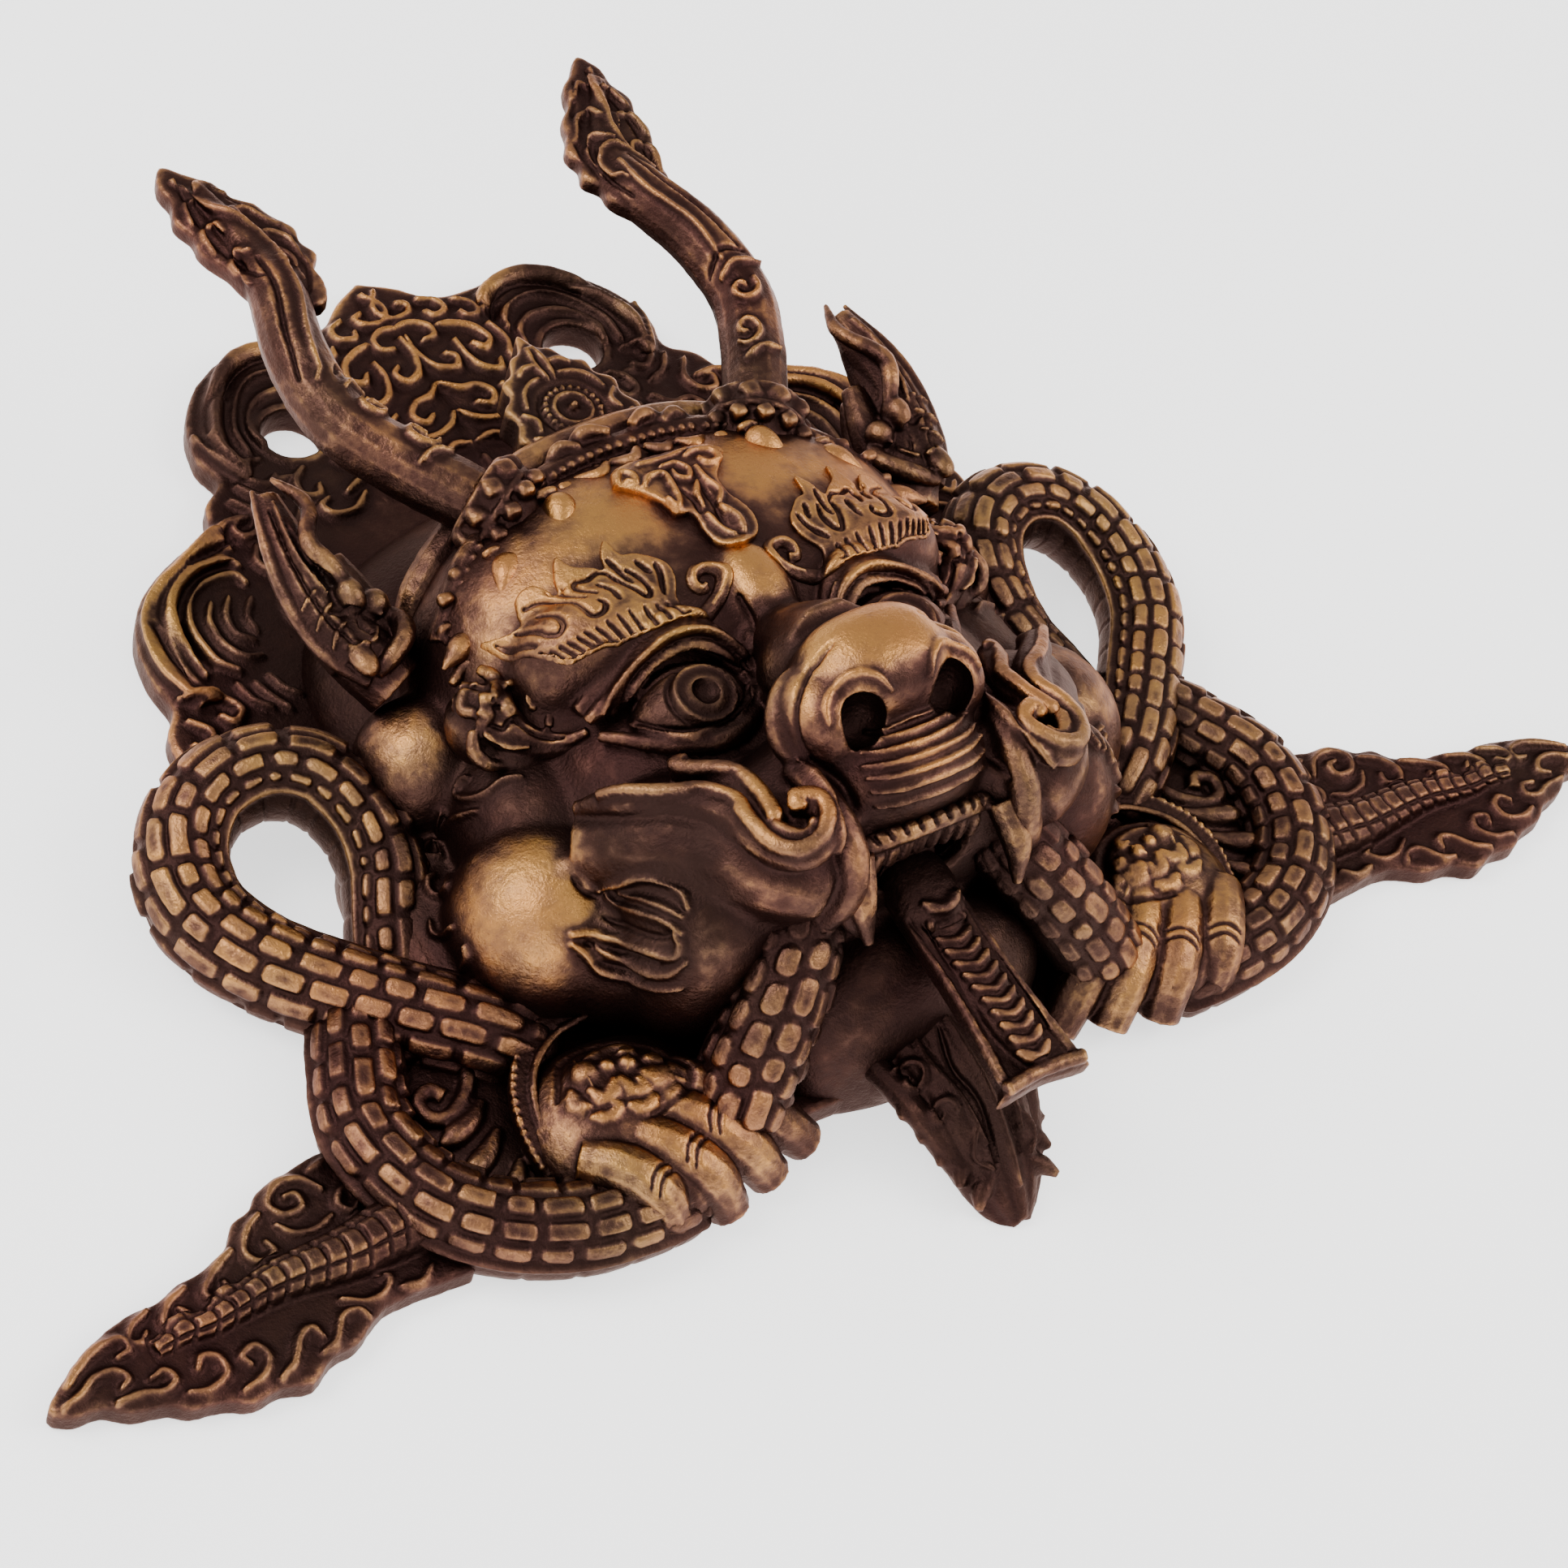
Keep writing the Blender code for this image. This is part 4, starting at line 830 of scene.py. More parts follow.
def serpent(name, kind, path, seed):
    """A swept serpent body, its back covered with rows of rounded plates."""
    rng = np.random.default_rng(seed)
    start, rim, bands = PLATES[kind]
    rows = sampled(path, 24)
    length = np.concatenate([[0], np.cumsum(np.linalg.norm(np.diff(rows, axis=0), axis=1))])
    total = length[-1]
    count = int(total / (0.62 * GRAIN))
    s = np.linspace(0, total, count)
    line = np.stack([np.interp(s, length, rows[:, k]) for k in range(3)], 1)
    along = np.gradient(line, axis=0)
    along /= np.linalg.norm(along, axis=1)[:, None]
    up = np.array((0.0, 0.0, 1.0)) - along * along[:, 2:3]
    up /= np.linalg.norm(up, axis=1)[:, None]
    out = np.cross(along, up)
    fine = np.arange(-108, 124, 3.3 * GRAIN)
    angle = np.concatenate([fine, np.linspace(fine[-1] + 8, 244, 11)])
    around = len(angle)
    a, ss = np.meshgrid(angle, s)
    height = np.zeros_like(a)
    edge = start
    for k, (tall, long) in enumerate(bands):
        end = edge + math.degrees(tall / SERPENT)
        inside = (a >= edge) & (a < end)
        v = (a - edge) / (end - edge)
        cell = ss / long + 0.5 * (k % 2) + rng.uniform(-0.08, 0.08)
        whole = np.floor(cell)
        joint = rng.uniform(-0.17, 0.17, int(total / long) + 4)
        u = cell - whole
        left = joint[whole.astype(int) % len(joint)]
        right = joint[(whole.astype(int) + 1) % len(joint)]
        lean = 0.05 * np.sin(whole * 2.1 + k) * (v - 0.5)
        gx = np.minimum(u - left + lean, 1 + right - u - lean) * long
        gy = np.minimum(v, 1 - v) * tall
        corner = 2.3 if kind != "neck" else 3.0
        deep = np.where(
            (gx < corner) & (gy < corner),
            corner - np.hypot(np.maximum(corner - gx, 0), np.maximum(corner - gy, 0)),
            np.minimum(gx, gy),
        )
        lift = np.clip((deep - 0.36) / 0.85, 0, 1)
        lift = lift * lift * (3 - 2 * lift)
        tilt = 0.5 * (u - 0.5) * lift + 0.22 * np.sin(math.pi * np.clip(u, 0, 1))
        shade = rng.uniform(0.55, 1.12, len(joint))[whole.astype(int) % len(joint)]
        height = np.where(inside, PLATE_RISE * lift * shade - 0.6 + tilt * lift, height)
        edge = end
    height += 1.15 * np.exp(-(((a - rim) / 4.2) ** 2))
    if kind == "arc":
        height += 0.9 * np.exp(-(((a - rim + 11) / 3.4) ** 2))
    if kind == "neck":
        height += 1.0 * np.exp(-(((a - 101) / 5.0) ** 2))
    lines = ss / 11.0
    gap = np.abs(lines - np.round(lines)) * 11.0
    plain = (a < rim - 8) | (a > 150)
    height = np.where(plain, -0.45 * np.exp(-((gap / 0.8) ** 2)), height)
    ends = np.minimum(ss, total - ss)
    dome = np.sqrt(np.clip(1 - (1 - np.clip(ends / 7.0, 0, 1)) ** 2, 0.02, 1))
    radius = (SERPENT + height) * dome
    t = np.radians(a)[..., None]
    co = line[:, None, :] + radius[..., None] * (
        np.cos(t) * up[:, None, :] + np.sin(t) * out[:, None, :]
    )
    verts = np.concatenate([co.reshape(-1, 3), line[:1] * (1, 1, 0.5), line[-1:] * (1, 1, 0.5)])
    verts[:, 2] = np.maximum(verts[:, 2], 0.0)
    faces = []
    base = count * around
    last = base - around
    for j in range(around):
        k = (j + 1) % around
        for i in range(0, last, around):
            faces.append((i + j, i + k, i + around + k, i + around + j))
        faces.append((base, k, j))
        faces.append((base + 1, last + j, last + k))
    mesh = bpy.data.meshes.new(name)
    mesh.from_pydata(verts.tolist(), [], faces)
    obj = outward(linked(name, mesh))
    pieces.append(obj)
    return thinned(obj, SERPENT_MOST[kind])


def serpents():
    """Three lengths of serpent a side; the plates are laid out differently on each side."""
    for kind, path in (("loop", LOOP), ("arc", LOWER_ARC), ("neck", MOUTH_BODY)):
        serpent(f"serpent_{kind}_right", kind, path, RIGHT_SEED)
        other = serpent(f"serpent_{kind}_spare", kind, path, LEFT_SEED)
        mirrored(other, f"serpent_{kind}_left")
        pieces.remove(other)
        bpy.data.objects.remove(other)


def hands():
    """The hands that hold the serpents, with webs between the fingers and jewels on their backs."""
    knuckles = ((59, -4), (66, -9), (75, -14), (86, -17))
    tips = ((38, -17.5), (51, -22), (65, -25.5), (81, -24.5))
    rows = []
    for (kx, ky), (tx, ty) in zip(knuckles, tips):
        path = [(kx + 10, ky + 12, 16), (kx + 3, ky + 4, 18)]
        path.append(((kx * 1.2 + tx) / 2.2, (ky * 1.2 + ty) / 2.2, 14.5))
        rows.append(([*path, (tx, ty, 4)], (5.6, 6.6, 6.6, 5.4)))
        if (kx, ky) == knuckles[-1]:
            continue
        web = [*path, (tx * 0.7 + kx * 0.3, ty * 0.7 + ky * 0.3, 7)]
        rows.append(([(x + 5, y - 1.4, z - 2.6) for x, y, z in web], (5.4, 6.2, 5.6, 2.6)))
    forms = [
        lumps([((79, 2.5, 7), (25, 22, 17), 2.3), ((79, 6, 20), (13, 10, 4.6), 2.3)], 44),
        bars(rows, 5, 4),
    ]
    obj = cast("hand_left", forms, 0.55, 3)
    obj.data.transform(Matrix.Diagonal((-1, 1, 1, 1)))
    obj.data.flip_normals()
    strokes = []
    for (kx, ky), (tx, ty) in zip(knuckles, tips):
        run = np.array((tx - kx, ty - ky), float)
        run /= np.linalg.norm(run)
        side = np.array((-run[1], run[0]))
        for step in (2.0, 4.4):
            spot = np.array((kx, ky)) + run * step
            arc = [spot + side * w - run * (0.9 - 0.06 * w * w) for w in (-4.2, -2, 0, 2, 4.2)]
            strokes.append(([(-p[0], p[1]) for p in arc], 0.6, -0.8))
    cluster = [
        ([(-87, 12), (-86.7, 12)], 3.6, 2.6), ([(-81.5, 10.6), (-81.2, 10.6)], 1.9, 1.9),
        ([(-76.6, 9.4), (-76.3, 9.2)], 2.1, 1.9), ([(-71, 8.4), (-69, 7)], 1.7, 1.6),
        ([(-74, 4.4), (-70.6, 2.8), (-68.4, 4)], 2.6, 1.9),
        ([(-84, 14.6), (-79, 15.6), (-75, 14.4), (-74, 12.4), (-76, 12.4)], 1.1, 1.4),
        ([(-91.6, 8.6), (-92.4, 5.4), (-90.4, 3.6)], 1.5, 1.4),
        ([(-88, 6.4), (-86.6, 3.4), (-83.4, 4), (-82, 6)], 1.4, 1.5),
        ([(-90.6, 0.6), (-87.4, -0.8), (-84.6, 0.2), (-85.4, 2)], 1.2, 1.4),
        ([(-80.6, 5.8), (-79.4, 2.6), (-76.4, 1.4), (-76.6, 4)], 1.5, 1.5),
        ([(-81.6, -1), (-78.6, -2.2), (-75.4, -1)], 1.4, 1.5),
        ([(-95, 9), (-88, 18), (-78, 18.4), (-69, 12.6), (-63.6, 3.4), (-67, -2.4), (-78, -5)], 0.8, -0.8),
    ]
    carve(obj, strokes + [(points, 1.5 * width, 0.8 * height, 3) for points, width, height in cluster])
    thinned(obj, 38000)
    mirrored(obj, "hand_right")


def cuffs_and_curls():
    """The beaded cuffs, the leaves outside them and the curls inside the serpents' loops."""
    cuff = [(-74, 31, 16), (-84, 30, 15), (-93, 25, 15), (-99.5, 17, 15), (-102.5, 7, 13.5), (-102, -3, 10)]
    ring = sampled(cuff, 10)
    forms = [bars([(cuff, 2.6)])]
    beads = []
    count = 27
    for i in range(1, count):
        x, y, z = ring[int(i / count * (len(ring) - 1))]
        dx, dy = x + 80, y - 4
        far = math.hypot(dx, dy)
        beads.append(((x + dx / far * 1.7, y + dy / far * 1.7, z + 1.9), (1.0, 1.0, 1.6)))
    inner = [(x + (-80 - x) * 0.13, y + (4 - y) * 0.13, z + 2.6) for x, y, z in cuff]
    forms += [lumps(beads, 10), bars([(inner, 1.0)])]
    leaves = [
        ([(-104, 31), (-108, 25), (-114, 21), (-119, 22), (-120, 27), (-116, 29), (-113.5, 26)], 2.0),
        ([(-106, 21.5), (-111, 17.5), (-117, 15.5), (-121, 15)], (1.2, 2.6, 3, 0.8)),
        ([(-106.5, 13), (-112, 8.5), (-117, 6), (-120, 5.6)], (1.2, 2.6, 3, 0.8)),
        ([(-105.5, 4), (-110, -1), (-113, -4)], (1.0, 2.4, 0.8)),
        ([(-99, 35), (-104, 39), (-110, 40.5), (-113, 38)], (1.0, 2.4, 2.4, 0.8)),
        ([(-90, 38), (-95, 43), (-101, 46)], (1.0, 2.4, 0.8)),
        ([(-79, 37), (-85, 37.5), (-89, 34.5)], (1.0, 2, 0.8)),
    ]
    rows = [(lifted(points, 10.5), radii) for points, radii in leaves]
    for i in range(6):
        y = 90 - 9.5 * i
        x = -90 - 0.9 * i
        if i % 2:
            spots = [(x - 4, y + 2), (x, y + 3.6), (x + 3, y + 0.6), (x + 0.4, y - 2), (x - 2, y)]
        else:
            spots = [(x + 4, y + 3.4), (x, y + 1), (x - 3.4, y - 2.6), (x - 0.6, y - 3.6), (x + 1.4, y - 2)]
        rows.append((lifted(spots, 19.5 - 1.2 * i), (1.2, 1.9, 1.8, 1.5, 1.6)))
    forms.append(bars(rows))
    forms.append(lumps([((-108, 20, 2), (16, 28, 8), 2.6), ((-97, 68, 4), (9, 30, 13), 2.4)], 32))
    obj = thinned(cast("cuff_and_curls_left", forms, 0.6, 1), 34000)
    mirrored(obj, "cuff_and_curls_right")


TAIL_EDGE = [
    (128, 22), (135, 25.6), (141, 27), (149, 27), (155.5, 25.6), (163, 24), (167, 20.6), (172, 19.2),
    (175.5, 15), (180, 12.4), (185, 11), (191, 10.4), (196, 8.4), (203, 8.4), (210, 6.8), (216, 4.2),
    (222, 1), (230, -5), (225.6, -9), (219.4, -9.6), (214, -13.4), (206, -15.4), (202, -18.4),
    (195, -19.6), (189, -22.6), (182, -22), (175, -24), (168.4, -20.4), (161, -19.5), (155, -16),
    (148, -14), (128, -15),
]
TAIL_SPINE = [
    (-136, 2), (-143, 1.4), (-151, 0.4), (-159, 0.6), (-167, 0.9), (-175, 0.6), (-182, -0.6),
    (-189, -1.6), (-196, -1.4), (-203, -2.4),
]
TAIL_STROKES = [
    ([(-150, 18), (-153.5, 22.4), (-159, 23), (-163, 19.4), (-161, 15.4), (-156.4, 15.6), (-156, 19),
      (-158.6, 19.6)], 1.3, 1.7),
    ([(-138, 22), (-144, 24), (-150, 23.4)], 1.2, 1.4),
    ([(-139, 12), (-145, 16), (-148.4, 13), (-146.4, 10), (-143.6, 11.6)], 1.2, 1.5),
    ([(-166, 18), (-170.5, 15.4), (-173.6, 10.6), (-171.4, 7), (-167.6, 8), (-168, 11)], 1.3, 1.6),
    ([(-163.7, 13.9), (-161, 10.4), (-155.6, 9.4), (-151, 11)], 1.1, 1.3),
    ([(-176, 12.4), (-181.5, 9.6), (-186.4, 5.6), (-185, 2.6), (-181.6, 3.4), (-181.4, 6)], 1.3, 1.6),
    ([(-190, 8.4), (-195.4, 6), (-198, 2.6), (-195.6, 0.8), (-192.8, 2.4), (-193.6, 4.4)], 1.3, 1.6),
    ([(-200, 6.8), (-205, 4.6), (-207, 1.6), (-204.6, 0.4), (-202.6, 2.2)], 1.2, 1.5),
    ([(-224.1, -2.5), (-219, 0.9), (-213.2, 3.4), (-208.4, 3), (-208, 0), (-211, -0.8)], 1.2, 1.6),
    ([(-226.8, -6.5), (-222.7, -5.6), (-218.2, -3.1), (-213.6, -3.2), (-211.4, -6), (-213.8, -8)],
      1.2, 1.6),
    ([(-216, -10.4), (-210, -11), (-206, -12.4), (-202.5, -11), (-203.5, -8), (-207, -8.4)], 1.2, 1.6),
    ([(-201.2, -15), (-197, -16.4), (-192, -14.6), (-191.3, -10.4), (-194.4, -8.4), (-196.8, -10.6)],
      1.3, 1.6),
    ([(-190, -19.6), (-184.6, -18.4), (-181.4, -14.6), (-183, -11), (-186.6, -12), (-186, -14.6)],
      1.3, 1.6),
    ([(-181.3, -20.5), (-177, -18.4), (-172.9, -13.5), (-169.5, -12.6), (-168.2, -15.7)], 1.3, 1.6),
    ([(-170, -19), (-166, -17.6), (-162, -13), (-158, -12.8), (-156.6, -15)], 1.2, 1.5),
    ([(-160, -9), (-155, -12), (-150, -11.4), (-147.4, -8.6), (-149.6, -6.8)], 1.2, 1.5),
    ([(-146, -12), (-141, -12.6), (-137, -10)], 1.2, 1.4),
]


def tails():
    """The tails: leaves of flame with a notched spine."""
    edge = [(-x, y) for x, y in reversed(TAIL_EDGE)]
    spine = lifted(TAIL_SPINE, 6.4)
    forms = [leaf(edge, -0.5, 6.6, steps=3, edge=1.3), bars([(spine, (8.4, 7.4, 6, 4.6, 3.6, 2.4))])]
    obj = cast("tail_left", forms, 0.52, 1)
    path = sampled(TAIL_SPINE, 8)
    strokes = []
    run = 0.0
    for i in range(1, len(path)):
        run += np.linalg.norm(path[i] - path[i - 1])
        if run < 4.4:
            continue
        run = 0.0
        way = path[i] - path[i - 1]
        way /= np.linalg.norm(way)
        side = np.array((-way[1], way[0]))
        wide = np.interp(i, (0, len(path)), (7.2, 2.4))
        arc = [path[i] + side * w * wide - way * (1.6 - 1.8 * w * w) for w in (-1, -0.5, 0, 0.5, 1)]
        strokes.append((arc, 0.65, -1.1))
    for w in (-0.32, 0.36):
        offset = [p + np.array((0, w * np.interp(i, (0, 9), (13, 4)))) for i, p in enumerate(TAIL_SPINE)]
        strokes.append((offset, 0.6, -0.9))
    carve(obj, strokes + [(points, 1.35 * wide, 1.1 * high) for points, wide, high in TAIL_STROKES])
    thinned(obj, 38000)
    mirrored(obj, "tail_right")


CHIN_LEAF = [
    (2, 24, 22), (-10, 21, 23), (-20, 19, 23), (-30, 17, 22), (-40, 13, 17), (-50, 8, 10), (-57, 2, 5),
]


def chin():
    """The leaf under the tongue."""
    rows = [([(0, y, z - 4) for y, half, z in CHIN_LEAF], (9, 8, 7, 6, 5, 4, 2))]
    for side in (-1, 1):
        for share, radius in ((0.45, 5.0), (0.85, 3.6)):
            row = [(side * half * share, y, z - 3 - 5 * share) for y, half, z in CHIN_LEAF]
            rows.append((row, [radius] * 5 + [0.8 * radius, 0.4 * radius]))
        for i in range(5):
            spot = (side * (16.5 - 1.8 * i), -24 - 6.4 * i, 15.5 - 1.9 * i)
            tip = (spot[0] + side * 2.6, spot[1] - 3.4, spot[2] - 1)
            rows.append(([(spot[0] - side * 4, spot[1] + 2, spot[2] + 2), spot, tip], (2, 2.5, 1)))
    forms = [bars(rows), lumps([((0, -6, 9), (24, 12, 16), 2.2)], 32)]
    obj = cast("chin_leaf", forms, 0.62, 1)
    strokes = both(
        [
            (curl(14, -21, 60, 4.6, 1.0), 1.2, 1.6),
            (curl(12, -32, 200, 3.6, -0.9), 1.1, 1.5),
            ([(3, -14), (5, -24), (3.4, -34), (3.6, -46)], 0.9, -1.3),
            ([(8, -12), (9, -20), (7, -30), (5.4, -42)], 1.1, 1.4),
            ([(6.4, -38), (8.6, -43), (5.6, -47)], 1.0, 1.3),
        ]
    )
    strokes.append(([(0, -12), (0, -30), (0, -52)], 1.3, 1.4))
    carve(obj, strokes)
    thinned(obj, 30000)


HORN_LEAN = -4.5
HORN_RADIUS = 8.5
COLLAR_WALL = 3.6
HORN = [
    (42, 148.5, 58.0), (52, 163.5, 60.0), (60, 180.5, 62.0), (59.5, 200, 65.0), (54, 219, 66.5),
    (53, 234, 66.0), (60, 258, 68.0),
]
HORN_BLADE = [
    (47, 212), (42.6, 219), (42.8, 224), (39.6, 228), (41.6, 233), (40.5, 238), (44, 243.4), (46, 249),
    (50.4, 253), (52.4, 259), (57, 263), (62.5, 268.5), (66.4, 262), (66, 256), (68.2, 250),
    (66.4, 244), (67, 238), (64, 231), (62.4, 224), (60, 217),
]


def horns():
    """The two horns, each with a flaming blade at its end."""
    for side, word in ((-1, "left"), (1, "right")):
        lean = [HORN_LEAN * min(1.0, 1.6 * i / (len(HORN) - 1)) for i in range(len(HORN))]
        lean[-1] = 0.0
        path = [(x * side + dx, y, z) for (x, y, z), dx in zip(HORN, lean)]
        radii = [HORN_RADIUS * share for share in (1.0, 1.0, 0.98, 0.95, 0.86, 0.6, 0.2)]
        shift = 0.5 * HORN_LEAN
        blade = [(x * side + shift, y) for x, y in HORN_BLADE]
        forms = [
            bars([(path, radii)], 6, 5),
            leaf(blade if side > 0 else blade[::-1], 62, 67.6, steps=3, edge=1.4),
        ]
        obj = cast(f"horn_skin_{word}", forms, 0.6, 2, False)

        def over(points):
            return [(x * side + shift, y, 68.5) for x, y in points]

        strokes = [
            (over([(55, 222), (53, 231), (54, 240), (58, 250), (62.5, 262)]), 1.3, 1.6),
            (over([(50, 220), (47, 228), (50.4, 233), (53, 229)]), 1.2, 1.4),
            (over([(44, 226), (44.4, 234), (49, 238.4), (51.6, 235)]), 1.2, 1.5),
            (over([(44.6, 240), (49, 247), (54, 247.6), (54.6, 243.6)]), 1.2, 1.5),
            (over([(52, 254), (56.6, 258.4), (58.6, 255.6)]), 1.1, 1.4),
            (over([(60, 222), (62.6, 230), (59, 234), (56.6, 231)]), 1.2, 1.5),
            (over([(64.6, 236), (64, 243), (59.6, 244.6), (58.4, 241)]), 1.2, 1.5),
            (over([(65, 247), (63.6, 253), (60.6, 254)]), 1.1, 1.4),
            (over([(49, 215.6), (45.6, 222), (43.6, 230), (44, 238), (48.6, 248), (56, 259.6)]), 0.7, -1.0),
            (over([(57, 220), (60.6, 230), (62.6, 240), (62.8, 250), (61.4, 262)]), 0.7, -1.0),
        ]
        # curls at the root and a long fold that winds up the stem
        strokes += [
            ([(x * side, y, 70) for x, y in curl(47.5, 166, 200, 5.2, 1.1)], 1.3, 1.8),
            ([(x * side, y, 70) for x, y in curl(54, 177.5, 20, 4.4, -1.0)], 1.2, 1.7),
            ([(44 * side, 158, 66), (48 * side, 159.5, 68), (53 * side, 158, 66)], 1.3, 1.5),
            ([(51.6 * side, 183, 68), (56 * side, 185.6, 70), (61.5 * side, 184, 67)], 1.2, 1.4),
            ([(49 * side, 186, 66), (55 * side, 190, 72), (60.5 * side, 188, 70)], 0.9, -1.2),
            (
                [
                    (60 * side + HORN_LEAN, 188, 68), (57 * side + HORN_LEAN, 200, 73),
                    (52 * side + HORN_LEAN, 214, 73), (51 * side + HORN_LEAN, 226, 71),
                ],
                1.1, 1.3,
            ),
            (
                [
                    (64 * side + HORN_LEAN, 190, 69), (61.6 * side + HORN_LEAN, 203, 72.5),
                    (56.6 * side + HORN_LEAN, 217, 73), (55 * side + HORN_LEAN, 228, 71),
                ],
                0.9, -1.1,
            ),
        ]
        carve(obj, strokes)
        thinned(obj, 30000)
        obj["stands_for"] = f"horn_{word}"
        obj["finish"] = "horn_bronze"


def collars():
    """The studded collars that the horns stand in."""
    radius = HORN_RADIUS + COLLAR_WALL
    base = Vector(HORN[0])
    run = (Vector(HORN[1]) - base).normalized()
    foot = base - run * 20 - Vector((0, 0, 6))
    rows = [([foot, base - run * 8, base - run * 1.3], radius)]
    across = run.cross(Vector((0, 0, 1))).normalized()
    up = across.cross(run)
    studs = []
    for back, count, size, reach in (
        (3.6, 10, (2.9, 2.9, 2.3), radius - 0.4),
        (10.5, 12, (2.3, 2.1, 2.1), radius + 0.6),
    ):
        for i in range(count):
            angle = 2 * math.pi * (i + 0.5 * (count % 2)) / count
            out = across * math.cos(angle) + up * math.sin(angle)
            studs.append((tuple(base - run * back + out * reach), size, 3.4))
    ring = []
    for back, wide in ((7.4, radius + 0.6), (0.9, radius - 0.4)):
        turn = [(across * math.cos(a) + up * math.sin(a)) * wide for a in np.linspace(0, ROUND, 24)]
        ring.append(([tuple(base - run * back + p) for p in turn], 1.0))
    obj = cast("collar_right", [bars([*rows, *ring], 3, 4), lumps(studs, 16)], 0.55, 1)
    thinned(obj, 16000)
    mirrored(obj, "collar_left")


def ears():
    """The ears: two rims round a shell, with a fold and three balls at the root."""
    ear = [(77, 119, 36), (83, 131, 41), (86.5, 145, 44), (87, 158, 47), (85.6, 170, 51)]
    outer = [(85, 119, 42), (91, 127, 44), (93.6, 136, 46), (94.4, 146, 49), (93, 158, 52), (88.5, 174, 54)]
    inner = [(80, 139, 52), (83.8, 146, 56), (85.6, 151, 57), (84, 156, 57), (80.6, 161, 57), (80, 167, 56)]
    inner.append((83, 175, 55))
    fold = [(73, 134, 46), (71.5, 129, 47), (74, 124, 48), (79, 120.6, 47), (84, 118.6, 45)]
    rows = [
        (ear, (8.4, 8.4, 7.4, 5.6, 2.4)), (outer, (1.8, 2.0, 2.0, 1.9, 1.6, 0.7)),
        (inner, (1.8, 2.4, 2.4, 2.3, 2.1, 1.8, 0.7)), (fold, (2, 2.8, 2.8, 2.4, 1.6)),
        ([(75, 126, 38), (76, 140, 44), (78, 152, 48)], (6, 5, 3)),
        ([(85.6, 126, 42), (87.8, 138, 45.6), (88, 150, 48.6), (87, 162, 50.6), (86, 172, 52)],
         (6.2, 6.2, 5.8, 5.2, 3.6)),
    ]
    balls = [
        ((81.6, 138, 51.5), (3.6, 5, 4.4)),
        ((75.6, 135.6, 48.5), 3.8),
        ((86, 122.6, 47.6), (3.2, 5.6, 2.6), 2.2),
    ]
    obj = cast("ear_right", [bars(rows, 6, 4), lumps(balls, 24)], 0.5, 1)
    strokes = [
        ([(86.4, 126, 50), (89.6, 134, 51.6), (91, 144, 53.6), (90.6, 154, 55), (88.6, 166, 56)],
         0.8, -1.3),
        ([(86.6, 140, 53), (88.6, 148, 55), (88.4, 158, 56), (86.6, 168, 57)], 0.7, 1.1),
        ([(85.4, 141, 54), (86.8, 150, 55.6), (86.6, 160, 56)], 0.6, -0.9),
        ([(80, 128, 50), (83.6, 133, 52), (88, 136, 50)], 1.0, -1.4),
        ([(90.6, 128, 47), (88.6, 130.6, 50), (85.6, 131.6, 51.6)], 0.8, 1.3),
        ([(92, 133.6, 48), (89.8, 135.6, 51), (87, 137, 52.6)], 0.7, 1.2),
        ([(92.8, 139.6, 49), (90.6, 141, 52), (89, 141.6, 53)], 0.6, 0.9),
        ([(76, 131, 50), (80, 125.6, 51), (85, 125, 51)], 0.8, 1.1),
    ]
    carve(obj, strokes)
    thinned(obj, 18000)
    mirrored(obj, "ear_left")


